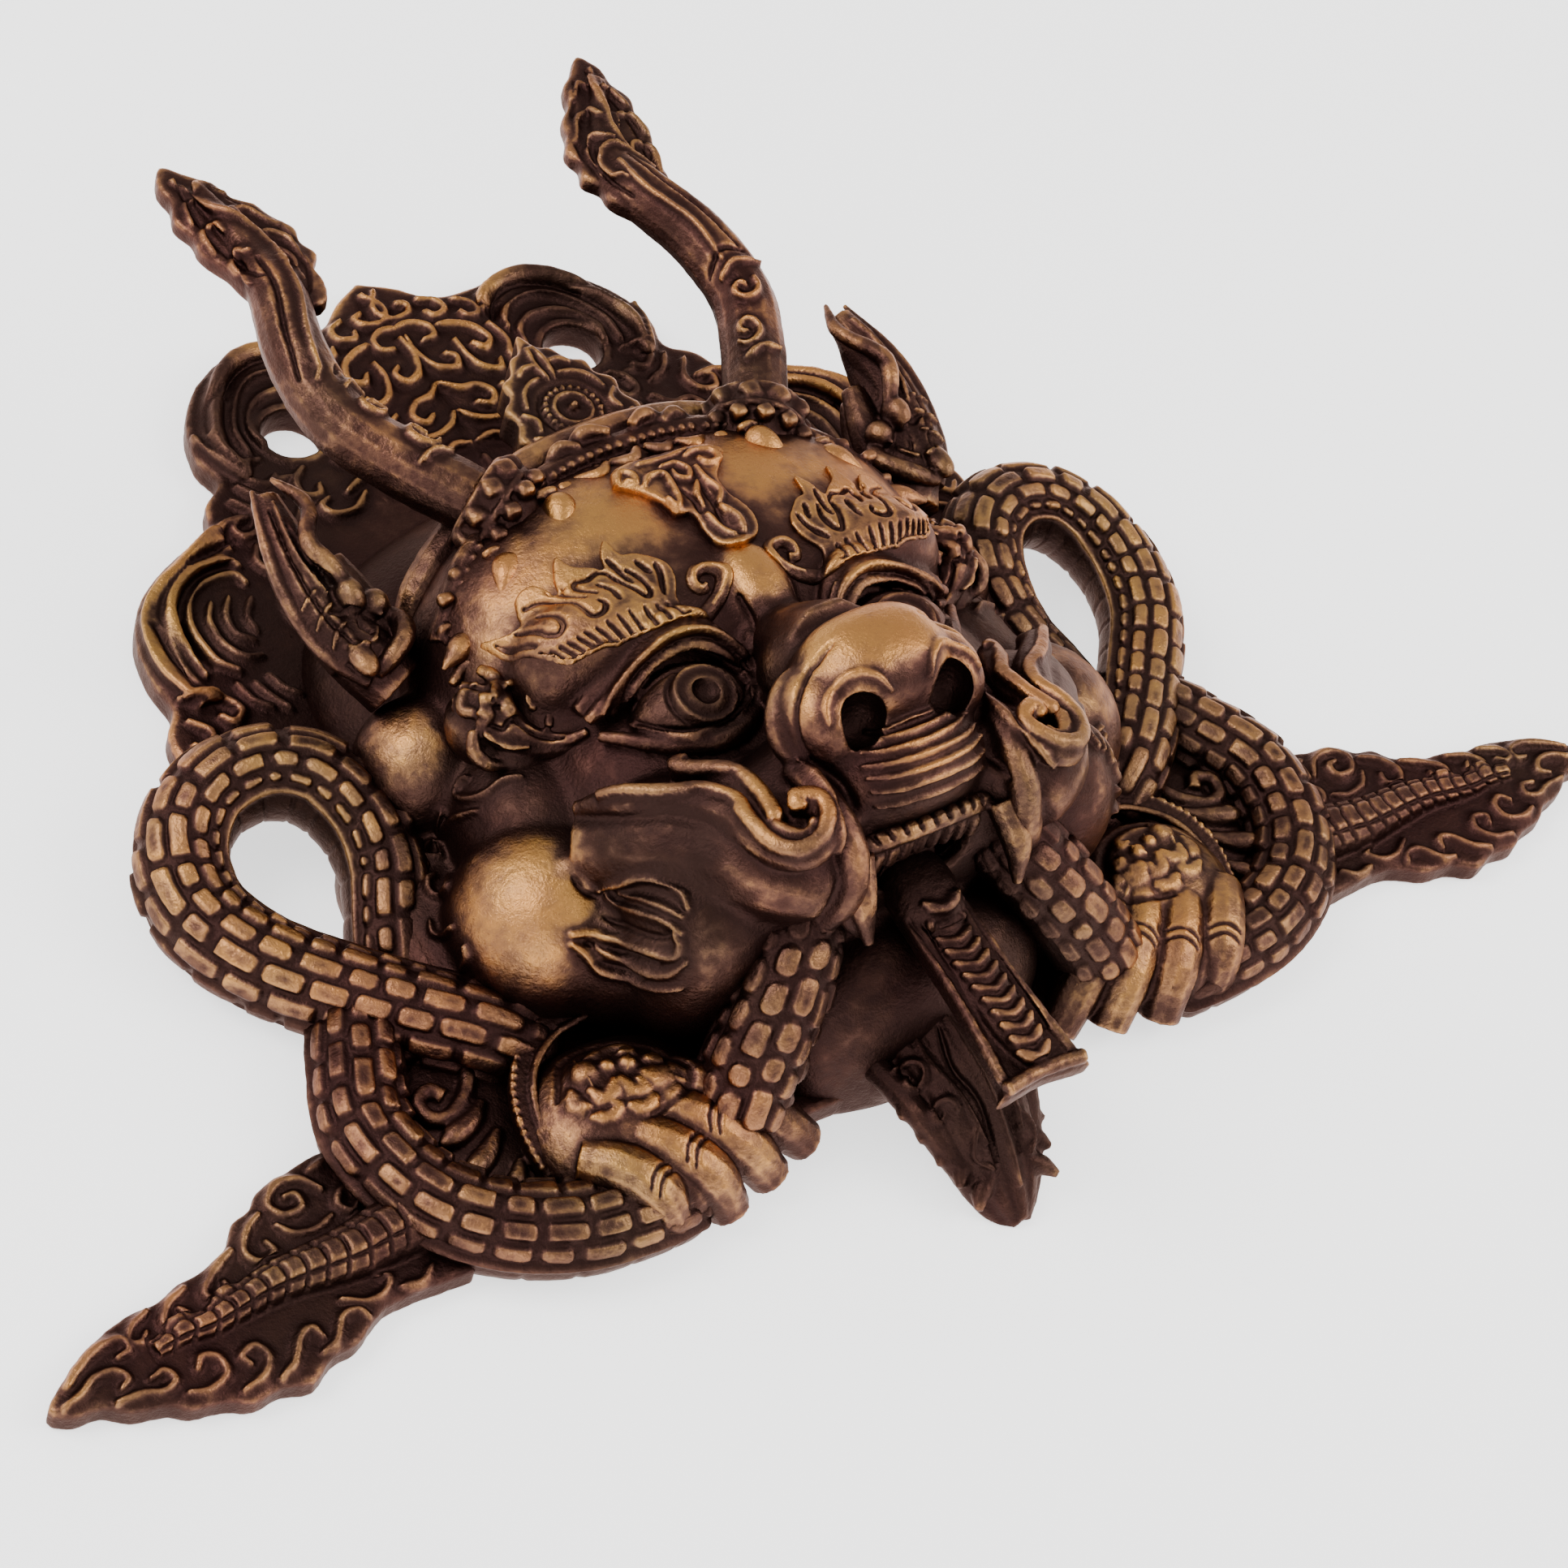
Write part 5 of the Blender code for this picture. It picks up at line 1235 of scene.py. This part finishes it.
def crests():
    """The tangles of curls on the temples, outside the eyes."""
    forms = [lumps([((67, 97, 42), (9, 10, 9)), ((63, 90, 42), (9, 11, 7), 2.2)], 36)]
    scrolls = [
        ([(-62, 98.4, 55.5), (-63.6, 96.9, 53.1), (-66.2, 91.3, 55.1), (-63.5, 89.9, 51),
          (-61.3, 86, 49.2), (-58.1, 82.3, 49.5), (-54.9, 79.5, 52), (-51.6, 78.1, 55)],
         (1.6, 2.2, 2.2, 2.2, 2, 1.8, 1.6, 1.2)),
        ([(-65, 105.5, 52.9), (-63.8, 101.9, 54.1), (-64.2, 98.8, 54), (-68.9, 95.1, 56.1),
          (-71.5, 95.7, 55.8)], (1.4, 2.0, 2.2, 2.2, 1.6)),
        ([(-72.1, 94.2, 54.6), (-70.8, 92.2, 53.8), (-71.5, 91.8, 51), (-70.4, 89.2, 49.4),
          (-67.2, 86.7, 47.4), (-62.2, 85.8, 46.8)], (1.6, 2, 2, 2, 1.8, 1.4)),
        ([(-67.4, 101.6, 52.5), (-71, 101.4, 51.5), (-73.4, 98, 50.5), (-72, 95, 52)],
         (1.2, 1.8, 1.8, 1.4)),
        ([(-74, 92, 50), (-75.4, 88, 47), (-73, 84.6, 45), (-69, 83.4, 44)], (1.4, 2, 1.8, 1.2)),
        ([(-58, 84.5, 52), (-56.4, 88, 54), (-58.6, 91, 55), (-60.6, 89, 54.4)], (1.2, 1.6, 1.6, 1.2)),
        ([(-70.6, 107, 48), (-66, 109.6, 50), (-62.6, 107.6, 53)], (1.2, 1.8, 1.2)),
    ]
    forms.append(bars([(flipped(points), radii) for points, radii in scrolls]))
    stem = [(70, 103, 47), (67, 96, 50), (66.4, 89.6, 49), (60.6, 84.6, 47), (53, 79, 50)]
    forms.append(bars([(stem, (4.6, 5.2, 5, 4.4, 2.4))]))
    obj = cast("crest_right", forms, 0.5, 1)
    strokes = [
        ([(-72.4, 103.6, 49), (-69.6, 102, 53), (-67.6, 99.2, 55.9), (-69.3, 94.4, 56.5)], 1.0, -1.3),
        ([(-66.4, 92.4, 54), (-64.4, 87.7, 52.6), (-60.8, 83.9, 51.3), (-56.4, 80.3, 51.8)], 0.8, -1.4),
        ([(-65, 97, 55), (-61.6, 96.8, 56.6), (-60.5, 93.5, 57), (-61, 90.4, 56)], 0.9, 1.4),
        ([(-72.7, 89, 51.2), (-70.7, 86.9, 50.2), (-67.7, 84.6, 49.7), (-64.3, 83.4, 49.5)], 0.9, 1.4),
        ([(-70.6, 90.4, 52), (-68.4, 88.4, 52), (-66.6, 89.4, 53)], 0.7, -1.2),
    ]
    carve(obj, [(flipped(points), wide, high) for points, wide, high in strokes])
    thinned(obj, 18000)
    mirrored(obj, "crest_left")


PLATE_EDGE = [
    (0, 263.5), (9, 258.5), (17, 252), (28, 251), (44, 252.5), (58, 246), (67, 235), (70.5, 223),
    (69, 214), (76, 208), (80, 200), (92, 195.5), (105, 187.5), (113, 176), (115.5, 163), (115, 153),
    (120, 146), (120, 137), (108, 126), (97, 112), (94, 96), (95, 80), (104, 64), (120, 52), (132, 34),
    (132, 10), (120, -8), (98, -16), (72, -18), (45, -13), (22, -13),
]
PLATE_SCROLLS = [
    # the upper lobes round their holes
    ([(26, 241), (30, 246), (37, 249), (44, 249), (50, 246), (56, 240), (61, 232), (64, 223),
      (62.6, 215)], 1.7, 2.2),
    ([(29.5, 233), (31.6, 238), (36, 241.6), (43, 242.6), (49, 240), (54, 234), (57.4, 227),
      (57.6, 219)], 1.3, 1.8),
    ([(31.6, 226), (33, 232), (38, 235.4), (44.6, 235.4), (50, 232), (53.2, 226), (52.8, 219.6)],
      1.2, 1.5),
    ([(68, 229), (66.6, 222), (63, 212)], 1.2, 1.5),
    ([(54, 240.5), (60.4, 235.5), (64.4, 228)], 0.9, -1.2),
    ([(28, 238), (33, 244), (40, 246), (48, 243.4), (55, 237)], 0.8, -1.3),
    ([(56.2, 216), (61.1, 215), (62, 210.5), (58.4, 207.5), (55, 209.6)], 1.3, 1.7),
    ([(66, 210), (62.6, 205), (57.5, 202.8)], 1.2, 1.5),
    ([(47, 209.5), (51, 206), (51.6, 201), (47.6, 199.6), (46, 202.6)], 1.3, 1.7),
    ([(31, 216), (30, 210.6), (33, 206.6), (37, 208.6), (35.6, 212)], 1.3, 1.7),
    ([(70, 206), (66.6, 200.6), (68, 195), (72.6, 194), (74, 197.6), (71, 199)], 1.3, 1.8),
    # the crest in the middle
    ([(2, 258), (-1, 253), (-0.6, 249), (3, 246.5), (7, 247.4), (8, 250.6), (5.6, 252)], 1.2, 1.6),
    ([(12, 251.5), (16, 249), (16.4, 244.6), (12.6, 243), (10.8, 245.6)], 1.2, 1.6),
    ([(21, 248), (25, 245), (24.4, 240.4), (21, 239.6), (19.6, 242)], 1.2, 1.6),
    ([(-1, 243), (4, 243.6), (8.4, 240.4), (8, 236.4), (4.6, 236)], 1.2, 1.6),
    ([(10.9, 239.6), (15.4, 238.4), (20, 235), (21.6, 230), (18.6, 227.6), (16.4, 230)], 1.3, 1.7),
    ([(1, 239), (0.6, 232), (3, 226), (7.6, 224), (9.6, 227), (7.4, 229.4)], 1.3, 1.7),
    ([(24.6, 235.6), (26.4, 229), (24.6, 223), (26.6, 217)], 1.2, 1.5),
    ([(12.4, 233), (12.4, 227), (14.6, 221.6), (18.6, 219.6), (20.6, 222.6)], 1.2, 1.6),
    ([(0.6, 221), (4.6, 217.4), (9.4, 216.4), (12.4, 212.8), (10, 209.6), (7, 211.4)], 1.3, 1.7),
    ([(0.8, 211), (3.6, 207.6), (8.4, 205.6), (14, 205.6)], 1.2, 1.5),
    ([(16.4, 214.6), (20.4, 212.6), (24.6, 213.6), (27, 210), (24.6, 206.8), (21.6, 208.2)], 1.3, 1.7),
    ([(1, 201), (6, 201.6), (11, 198.8), (16, 199.6)], 1.2, 1.5),
    ([(18, 203), (23, 202), (28, 200), (34, 200.6), (40, 198)], 1.2, 1.6),
    ([(28, 222), (26, 217), (28.6, 212.6)], 1.0, 1.3),
    ([(36, 196), (41, 192), (47, 192.4), (49, 196), (46, 197.6)], 1.2, 1.6),
    ([(0, 196), (-0.4, 191)], 1.0, 1.3),
    ([(18, 195), (24, 193), (29, 194.6)], 1.1, 1.5),
    # the space between the lobes
    ([(54, 198), (58, 193.4), (63.6, 193), (66, 188.6), (62.8, 186), (60, 188.4)], 1.3, 1.7),
    ([(71, 190.5), (73.6, 185.6), (71, 181.4), (66.8, 182.4), (67.6, 186)], 1.2, 1.6),
    ([(56, 208.3), (52.3, 208), (48.4, 207.2)], 1.0, 1.2),
    ([(57, 183), (61.4, 179.4), (66, 176.6), (66.4, 171.6), (62.4, 171)], 1.2, 1.6),
    ([(69.5, 175), (73.4, 170.4), (73, 164), (69.6, 162.6)], 1.2, 1.6),
    # the side lobes
    ([(69.3, 199.2), (75, 199.4), (80.9, 196.4), (87.5, 192.7), (93.4, 189.6), (102, 185), (108, 179),
      (111, 171), (111.6, 162), (110, 154)], 1.7, 2.3),
    ([(78.8, 185.9), (80.8, 189), (86, 189.4), (92, 188), (98, 184.4), (102, 179.6), (104.2, 173),
      (104.6, 166), (103.6, 158)], 1.4, 2.0),
    ([(79.6, 180.4), (81, 183.9), (85.6, 184.9), (91, 183.9), (95.8, 180.4), (98.6, 175), (99.4, 168.6),
      (98.4, 161), (94.6, 156)], 1.2, 1.7),
    ([(76, 194), (84, 191.4), (92, 189.4)], 0.8, -1.2),
    ([(108, 176), (108.4, 166), (107, 156)], 0.9, -1.3),
    ([(101.6, 177), (102, 168), (101, 159)], 0.8, -1.3),
    ([(91, 178), (94, 173), (94.4, 166), (91.6, 160), (87, 158.4)], 1.1, 1.5),
    ([(86, 178), (89.4, 173), (89.8, 167), (86.4, 163.4)], 1.1, 1.5),
    ([(80.6, 176), (84.4, 171), (84.4, 165.6)], 1.0, 1.4),
    ([(112.4, 154), (107, 152.4), (102.4, 149.4), (100.4, 145), (103.6, 142.4), (106, 145.4)],
      1.3, 1.8),
    ([(114, 147), (110.4, 142), (113.4, 137.6), (116.4, 140)], 1.2, 1.6),
    ([(104, 136), (109, 134), (110, 129.6), (106.4, 128)], 1.2, 1.6),
    ([(97.4, 153), (96, 147), (92.6, 143)], 1.1, 1.4),
    ([(93, 152), (91.6, 146.4), (88.6, 141)], 1.1, 1.4),
    ([(88.6, 153), (87, 147.6), (84, 144)], 1.0, 1.3),
]


LOBE_HOLE = (43.5, 221, 16)  # centre and diameter


def back_plate():
    """The scrolled plate behind the face, open in its middle."""
    edge = PLATE_EDGE + [(-x, y) for x, y in reversed(PLATE_EDGE[1:])]
    x, y, diameter = LOBE_HOLE
    holes = [LOBE_HOLE, (-x, y, diameter)]
    reach = diameter / 2 + 1.6
    rims = []
    for side in (-1, 1):
        spots = [(reach * math.cos(a), reach * math.sin(a)) for a in np.linspace(0, ROUND, 24)]
        rims.append(([(x * side + dx, y + dy, 7.6) for dx, dy in spots], 1.5))
    swell = [
        ([(28, 244, 5), (44, 247, 5), (57, 238, 5), (64, 224, 5), (62, 212, 5)], 5.0),
        ([(78, 194, 5), (93, 189, 5), (105, 178, 5), (109, 163, 5), (107, 150, 5)], 5.4),
    ]
    forms = [leaf(edge, -0.5, 8, holes, edge=1.6), bars([*both(swell), *rims], 4, 3)]
    forms.append(lumps(both_lumps([((12, 224, 4), (22, 30, 6.5), 2.4)]), 32))
    obj = taken(cast("back_plate", forms, 0.72, 1, keep_hollow=False), [hollow()])
    co = points_of(obj)
    co[:, 2] = np.maximum(co[:, 2], 0.0)
    put_points(obj, co)
    carve(obj, [(points, 1.35 * wide, 1.3 * high) for points, wide, high in both(PLATE_SCROLLS)])
    return thinned(obj, 130000)


def relief_of(obj, rounds=10):
    """How far each point stands out from a softened copy of its own surface, in millimetres."""
    co = points_of(obj)
    no = normals_of(obj)
    edges = np.zeros(len(obj.data.edges) * 2, np.int32)
    obj.data.edges.foreach_get("vertices", edges)
    a, b = edges.reshape(-1, 2).T
    ends = np.concatenate([a, b])
    others = np.concatenate([b, a])
    count = np.maximum(np.bincount(ends, minlength=len(co)), 1)
    soft = co.copy()
    for i in range(rounds):
        for k in range(3):
            mean = np.bincount(ends, soft[others, k], len(co)) / count
            soft[:, k] = 0.3 * soft[:, k] + 0.7 * mean
    return ((co - soft) * no).sum(1)


CELL = 0.7
LOW = np.array((-236.0, -64.0))
SIZE = (675, 490)


def height_map():
    """The highest point of all pieces over each cell of the front, with empty cells filled from their
    neighbours.
    """
    field = np.zeros(SIZE)
    for obj in pieces:
        co = points_of(obj)
        ij = ((co[:, :2] - LOW) / CELL).astype(int)
        np.maximum.at(field, (ij[:, 0], ij[:, 1]), co[:, 2])
    for i in range(2):
        filled = field.copy()
        for di in (-1, 0, 1):
            for dj in (-1, 0, 1):
                filled = np.maximum(filled, np.roll(field, (di, dj), (0, 1)) * 0.999)
        field = np.where(field > 0, field, filled)
    return field


def blurred(field, size):
    """A box average of the map, three times over."""
    for i in range(3):
        for axis in (0, 1):
            margins = [(size + 1, size) if a == axis else (0, 0) for a in (0, 1)]
            run = np.cumsum(np.pad(field, margins, "edge"), axis)
            high = np.take(run, range(2 * size + 1, run.shape[axis]), axis)
            low = np.take(run, range(0, run.shape[axis] - 2 * size - 1), axis)
            field = (high - low) / (2 * size + 1)
    return field


def cells(co):
    """The cells of the height map that the points lie over."""
    i = np.clip(((co[:, 0] - LOW[0]) / CELL).astype(int), 0, SIZE[0] - 1)
    j = np.clip(((co[:, 1] - LOW[1]) / CELL).astype(int), 0, SIZE[1] - 1)
    return i, j


def openness(co, field):
    """The share of the sky that each point sees over its surroundings."""
    total = np.zeros(len(co))
    turns = 12
    for k in range(turns):
        angle = 2 * math.pi * (k + 0.5) / turns
        horizon = np.zeros(len(co))
        for step in (1.6, 3, 5, 8, 12, 18, 26):
            i, j = cells(co[:, :2] + (step * math.cos(angle), step * math.sin(angle)))
            rise = (field[i, j] - co[:, 2] - 0.4) / step
            horizon = np.maximum(horizon, rise)
        total += 1 - horizon / np.sqrt(1 + horizon**2)
    return total / turns


# how rubbed each piece is, as the start of its name: everywhere, and on its ridges
RUBBED = {
    "back_plate": (0.40, 0.46), "head": (0.18, 0.36), "brow": (0.34, 0.52), "pendant": (0.44, 0.44),
    "diadem": (0.22, 0.42), "crown_leaf": (0.16, 0.50), "teeth": (0.24, 0.40), "tongue": (0.14, 0.44),
    "serpent_loop": (0.22, 0.44), "serpent_arc": (0.15, 0.44), "serpent_neck": (0.14, 0.44),
    "hand": (0.46, 0.42), "cuff": (0.22, 0.50), "tail": (0.25, 0.36), "chin": (0.12, 0.42),
    "horn": (0.16, 0.44), "collar": (0.16, 0.42), "ear": (0.12, 0.46), "crest": (0.26, 0.48),
}
# centre, radius and amount of the places that hands have polished (a negative amount paints shade into
# the hollows there), on both sides, and the share of it on the right where that differs
POLISH_AND_PAINTED_SHADE = [
    ((78, 48, 38), 25, 0.60, 0.2),
    # painted shade: these four darken the hollows beside the nose, the mouth and the eye and under the
    # tongue
    ((50, 44, 62), 27, -0.60),
    ((50, 24, 50), 22, -0.40),
    ((60, 74, 46), 20, -0.30),
    ((0, 0, 30), 46, -0.40),
    ((80, 106, 34), 15, 0.32),
    ((20, 124, 70), 22, 0.55),
    ((46, 112, 64), 20, 0.50),
    ((60, 104, 52), 13, 0.30),
    ((8, 50, 102), 15, 0.60),
    ((18, 46, 94), 13, 0.36),
    ((0, 93, 78), 13, 0.60),
    ((0, 75, 78), 8, 0.55),
    ((0, 24, 89), 15, 0.34),
    ((42, 30, 82), 16, 0.22),
    ((33, 22, 86), 9, 0.22),
    ((28, 84, 74), 14, 0.26),
    ((76, -4, 22), 20, 0.20),
    ((58, -12, 14), 18, 0.20),
    ((140, 84, 20), 34, 0.10),
    ((53, 175, 72), 26, 0.12),
]


def uneven(obj, deep=0.15):
    """The small unevenness that hand work leaves in the wax and the casting."""
    co = points_of(obj)
    no = normals_of(obj)
    rough = np.array([noise.noise(v) + 0.6 * noise.noise(v * 2.7) for v in map(Vector, co / 4.2)])
    co += no * (deep * rough)[:, None]
    co[:, 2] = np.maximum(co[:, 2], 0.0)
    put_points(obj, co)


def finish_attributes():
    """Write on each point how far hands and cloth have rubbed it, mixed with painted shade and light:
    darker where little sky is seen and on faces that point down, lighter on faces that point up.
    """
    field = height_map()
    near = blurred(field, 3)
    wide = blurred(field, 12)
    for obj in pieces:
        uneven(obj)
        co = points_of(obj)
        no = normals_of(obj)
        fine = relief_of(obj)
        sky = openness(co, field)
        i, j = cells(co)
        proud = np.clip((co[:, 2] - near[i, j]) / 2.2, -1, 1)
        broad = np.clip((co[:, 2] - wide[i, j]) / 10.0, -1, 1)
        start, ridges = next(RUBBED[key] for key in RUBBED if obj.name.startswith(key))
        wear_and_painted_light = start + ridges * np.clip(fine / 0.32, -1, 1) + 0.10 * proud + 0.04 * broad
        # painted shade and light: points that see little sky over their surroundings are darkened as
        # occlusion would shade them, on top of the patina in their hollows, and faces that point up are
        # lightened
        wear_and_painted_light += 0.35 * (sky - 0.84) + 0.04 * no[:, 2]
        for centre, radius, amount, *share in POLISH_AND_PAINTED_SHADE:
            for side in (-1, 1):
                gap = np.linalg.norm(co - (centre[0] * side, centre[1], centre[2]), axis=1)
                add = amount * np.clip(1.5 - 1.5 * gap / radius, 0, 1)
                # painted shade: negative places darken the hollows, away from the ridges
                if amount < 0:
                    add *= np.clip(1.5 - 4 * np.maximum(fine, 0), 0, 1)
                if share and side > 0:
                    add *= share[0]
                wear_and_painted_light += add / (2 if centre[0] == 0 else 1)
        # painted shade: faces that point down are darkened
        wear_and_painted_light[no[:, 2] < -0.3] *= 0.4
        attribute = obj.data.attributes.new("wear_and_painted_light", "FLOAT", "POINT")
        attribute.data.foreach_set("value", np.clip(wear_and_painted_light, 0, 1).astype(np.float32))


def bronze(name, ramp_stops, rough_low, rough_high):
    """Patinated cast bronze: dark in its hollows and rubbed golden where hands reach it, read from a
    per-point attribute that also carries painted shade and painted light.
    """
    material = bpy.data.materials.new(name)
    material.use_nodes = True
    tree = material.node_tree
    nodes, links = tree.nodes, tree.links
    shader = nodes["Principled BSDF"]
    place = nodes.new("ShaderNodeTexCoord")

    def noise(scale, detail, rough=0.6):
        node = nodes.new("ShaderNodeTexNoise")
        node.inputs["Scale"].default_value = scale
        node.inputs["Detail"].default_value = detail
        node.inputs["Roughness"].default_value = rough
        links.new(place.outputs["Object"], node.inputs["Vector"])
        return node

    def sum_of(first, second, factor, offset=0.0):
        node = nodes.new("ShaderNodeMath")
        node.operation = "MULTIPLY_ADD"
        node.inputs[1].default_value = factor
        links.new(second, node.inputs[0])
        more = nodes.new("ShaderNodeMath")
        more.operation = "ADD"
        more.inputs[1].default_value = offset
        links.new(first, more.inputs[0])
        links.new(more.outputs[0], node.inputs[2])
        return node.outputs[0]

    # the per-point attribute: rubbed wear mixed with painted shade and painted light
    wear_and_painted_light = nodes.new("ShaderNodeAttribute")
    wear_and_painted_light.attribute_name = "wear_and_painted_light"
    cloud = noise(85, 6, 0.65)
    speck = noise(520, 4, 0.7)
    level = sum_of(wear_and_painted_light.outputs["Fac"], cloud.outputs["Fac"], 0.8, -0.40)
    level = sum_of(level, speck.outputs["Fac"], 0.26, -0.13)
    ramp = nodes.new("ShaderNodeValToRGB")
    ramp.color_ramp.interpolation = "LINEAR"
    for i, (spot, colour) in enumerate(ramp_stops):
        if i < 2:
            stop = ramp.color_ramp.elements[i]
            stop.position = spot
        else:
            stop = ramp.color_ramp.elements.new(spot)
        stop.color = (*colour, 1)
    links.new(level, ramp.inputs["Fac"])
    tint = nodes.new("ShaderNodeMix")
    tint.data_type = "RGBA"
    tint.blend_type = "MULTIPLY"
    hue = noise(24, 3, 0.5)
    shades = nodes.new("ShaderNodeValToRGB")
    shades.color_ramp.elements[0].position = 0.35
    shades.color_ramp.elements[0].color = (1.0, 0.86, 0.84, 1)
    shades.color_ramp.elements[1].position = 0.66
    shades.color_ramp.elements[1].color = (0.94, 1.0, 0.88, 1)
    links.new(hue.outputs["Fac"], shades.inputs["Fac"])
    tint.inputs[0].default_value = 1.0
    links.new(ramp.outputs["Color"], tint.inputs[6])
    links.new(shades.outputs["Color"], tint.inputs[7])
    links.new(tint.outputs[2], shader.inputs["Base Color"])
    rough = nodes.new("ShaderNodeMapRange")
    rough.inputs["To Min"].default_value = rough_high
    rough.inputs["To Max"].default_value = rough_low
    links.new(level, rough.inputs["Value"])
    dull = sum_of(rough.outputs["Result"], speck.outputs["Fac"], 0.16, -0.08)
    links.new(dull, shader.inputs["Roughness"])
    metal = nodes.new("ShaderNodeMapRange")
    metal.inputs["To Min"].default_value = 0.92
    metal.inputs["To Max"].default_value = 1.0
    metal.inputs["From Max"].default_value = 0.6
    links.new(level, metal.inputs["Value"])
    links.new(metal.outputs["Result"], shader.inputs["Metallic"])
    shader.inputs["Specular Tint"].default_value = (0.92, 0.76, 0.71, 1)
    grain = noise(1100, 4)
    pits = noise(300, 5, 0.75)
    relief = sum_of(grain.outputs["Fac"], pits.outputs["Fac"], 1.4)
    bump = nodes.new("ShaderNodeBump")
    bump.inputs["Strength"].default_value = 0.45
    bump.inputs["Distance"].default_value = 0.0005
    links.new(relief, bump.inputs["Height"])
    links.new(bump.outputs["Normal"], shader.inputs["Normal"])
    return material


# the dark spot of the floor under the hollow, in metres, and how much the rest shines
HOLLOW_Y = -0.030
HOLLOW_REACH = 0.076
FLOOR_SHINE = 1.4


def pale_floor():
    """White paper that shines a little, but stays dark in the room behind the face."""
    material = bpy.data.materials.new("pale_floor")
    material.use_nodes = True
    nodes, links = material.node_tree.nodes, material.node_tree.links
    shader = nodes["Principled BSDF"]
    shader.inputs["Base Color"].default_value = (0.95, 0.95, 0.95, 1)
    shader.inputs["Roughness"].default_value = 0.95
    shader.inputs["Emission Color"].default_value = (1, 1, 1, 1)
    away = nodes.new("ShaderNodeVectorMath")
    away.operation = "DISTANCE"
    away.inputs[1].default_value = (0, HOLLOW_Y, 0)
    links.new(nodes.new("ShaderNodeTexCoord").outputs["Object"], away.inputs[0])
    shine = nodes.new("ShaderNodeMapRange")
    shine.inputs["From Min"].default_value = HOLLOW_REACH - 0.008
    shine.inputs["From Max"].default_value = HOLLOW_REACH
    shine.inputs["To Max"].default_value = FLOOR_SHINE
    links.new(away.outputs["Value"], shine.inputs["Value"])
    links.new(shine.outputs["Result"], shader.inputs["Emission Strength"])
    return material


def softbox(name, place, aim, size, power, colour=(1, 1, 1)):
    """A square lamp that faces a point."""
    data = bpy.data.lights.new(name, "AREA")
    data.shape = "SQUARE"
    data.size = size
    data.energy = power
    data.color = colour
    lamp = linked(name, data)
    lamp.location = place
    lamp.rotation_euler = (Vector(aim) - Vector(place)).to_track_quat("-Z", "Y").to_euler()
    return lamp


back_plate()
mask = head()
brows(mask)
diadem(mask)
crown_leaf()
teeth()
tongue()
serpents()
hands()
cuffs_and_curls()
tails()
chin()
horns()
collars()
ears()
crests()
finish_attributes()

# colours from dark patina, which also takes the painted shade, to rubbed gold, which also takes the painted
# light
stops = [
    (0.0, (0.027, 0.012, 0.011)),
    (1.0, (0.48, 0.235, 0.078)),
    (0.30, (0.041, 0.019, 0.016)),
    (0.48, (0.066, 0.032, 0.026)),
    (0.62, (0.125, 0.063, 0.043)),
    (0.80, (0.30, 0.152, 0.074)),
]
skins = {
    "cast_bronze": bronze("patinated_bronze", stops, 0.28, 0.42),
    "horn_bronze": bronze("horn_patinated_bronze", stops, 0.26, 0.38),
}

total = 0
for obj in pieces:
    obj.data.transform(Matrix.Scale(MM, 4))
    obj.data.transform(Matrix.Translation(Vector(MOVE)))
    obj.data.shade_smooth()
    slot = obj.get("finish", "cast_bronze")
    obj.data.materials.clear()
    obj.data.materials.append(skins[slot])
    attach(obj, "root")
    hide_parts(obj.get("stands_for", "mask_body"))
    count = triangles(obj)
    total += count
    print("PIECE", obj.name, count)
print("TRIANGLES", total)

bpy.ops.mesh.primitive_plane_add(size=8.0, location=(0, 0, -0.0004))
floor = bpy.context.object
floor.name = "floor"
floor.data.materials.append(pale_floor())

softbox("key", (-0.9, 0.5, 1.1), (0, 0, 0.03), 0.8, 15, (1.0, 0.98, 0.98))
softbox("fill", (0.9, -0.7, 0.9), (0, 0, 0.03), 0.9, 12, (1.0, 0.98, 0.96))
softbox("low", (-1.1, -1.0, 0.5), (0, 0, 0.03), 0.6, 6)

world = bpy.data.worlds.new("studio")
bpy.context.scene.world = world
world.use_nodes = True
sky = world.node_tree.nodes["Background"]
sky.inputs["Color"].default_value = (1, 1, 1, 1)
sky.inputs["Strength"].default_value = 0.92

# the camera that the photo was solved for
lens = bpy.data.cameras.new("camera")
camera = linked("camera", lens)
lens.sensor_width = 36
lens.lens = 93.34
lens.clip_start = 0.01
right = Vector((0.8094, -0.5393, 0.2326))
down = Vector((-0.3102, -0.7288, -0.6104))
forward = Vector((0.4987, 0.4219, -0.7572))
turn = Matrix((right, -down, -forward)).transposed().to_4x4()
camera.matrix_world = Matrix.Translation((-0.4934, -0.4627, 0.7793)) @ turn
bpy.context.scene.camera = camera

bpy.context.view_layer.update()
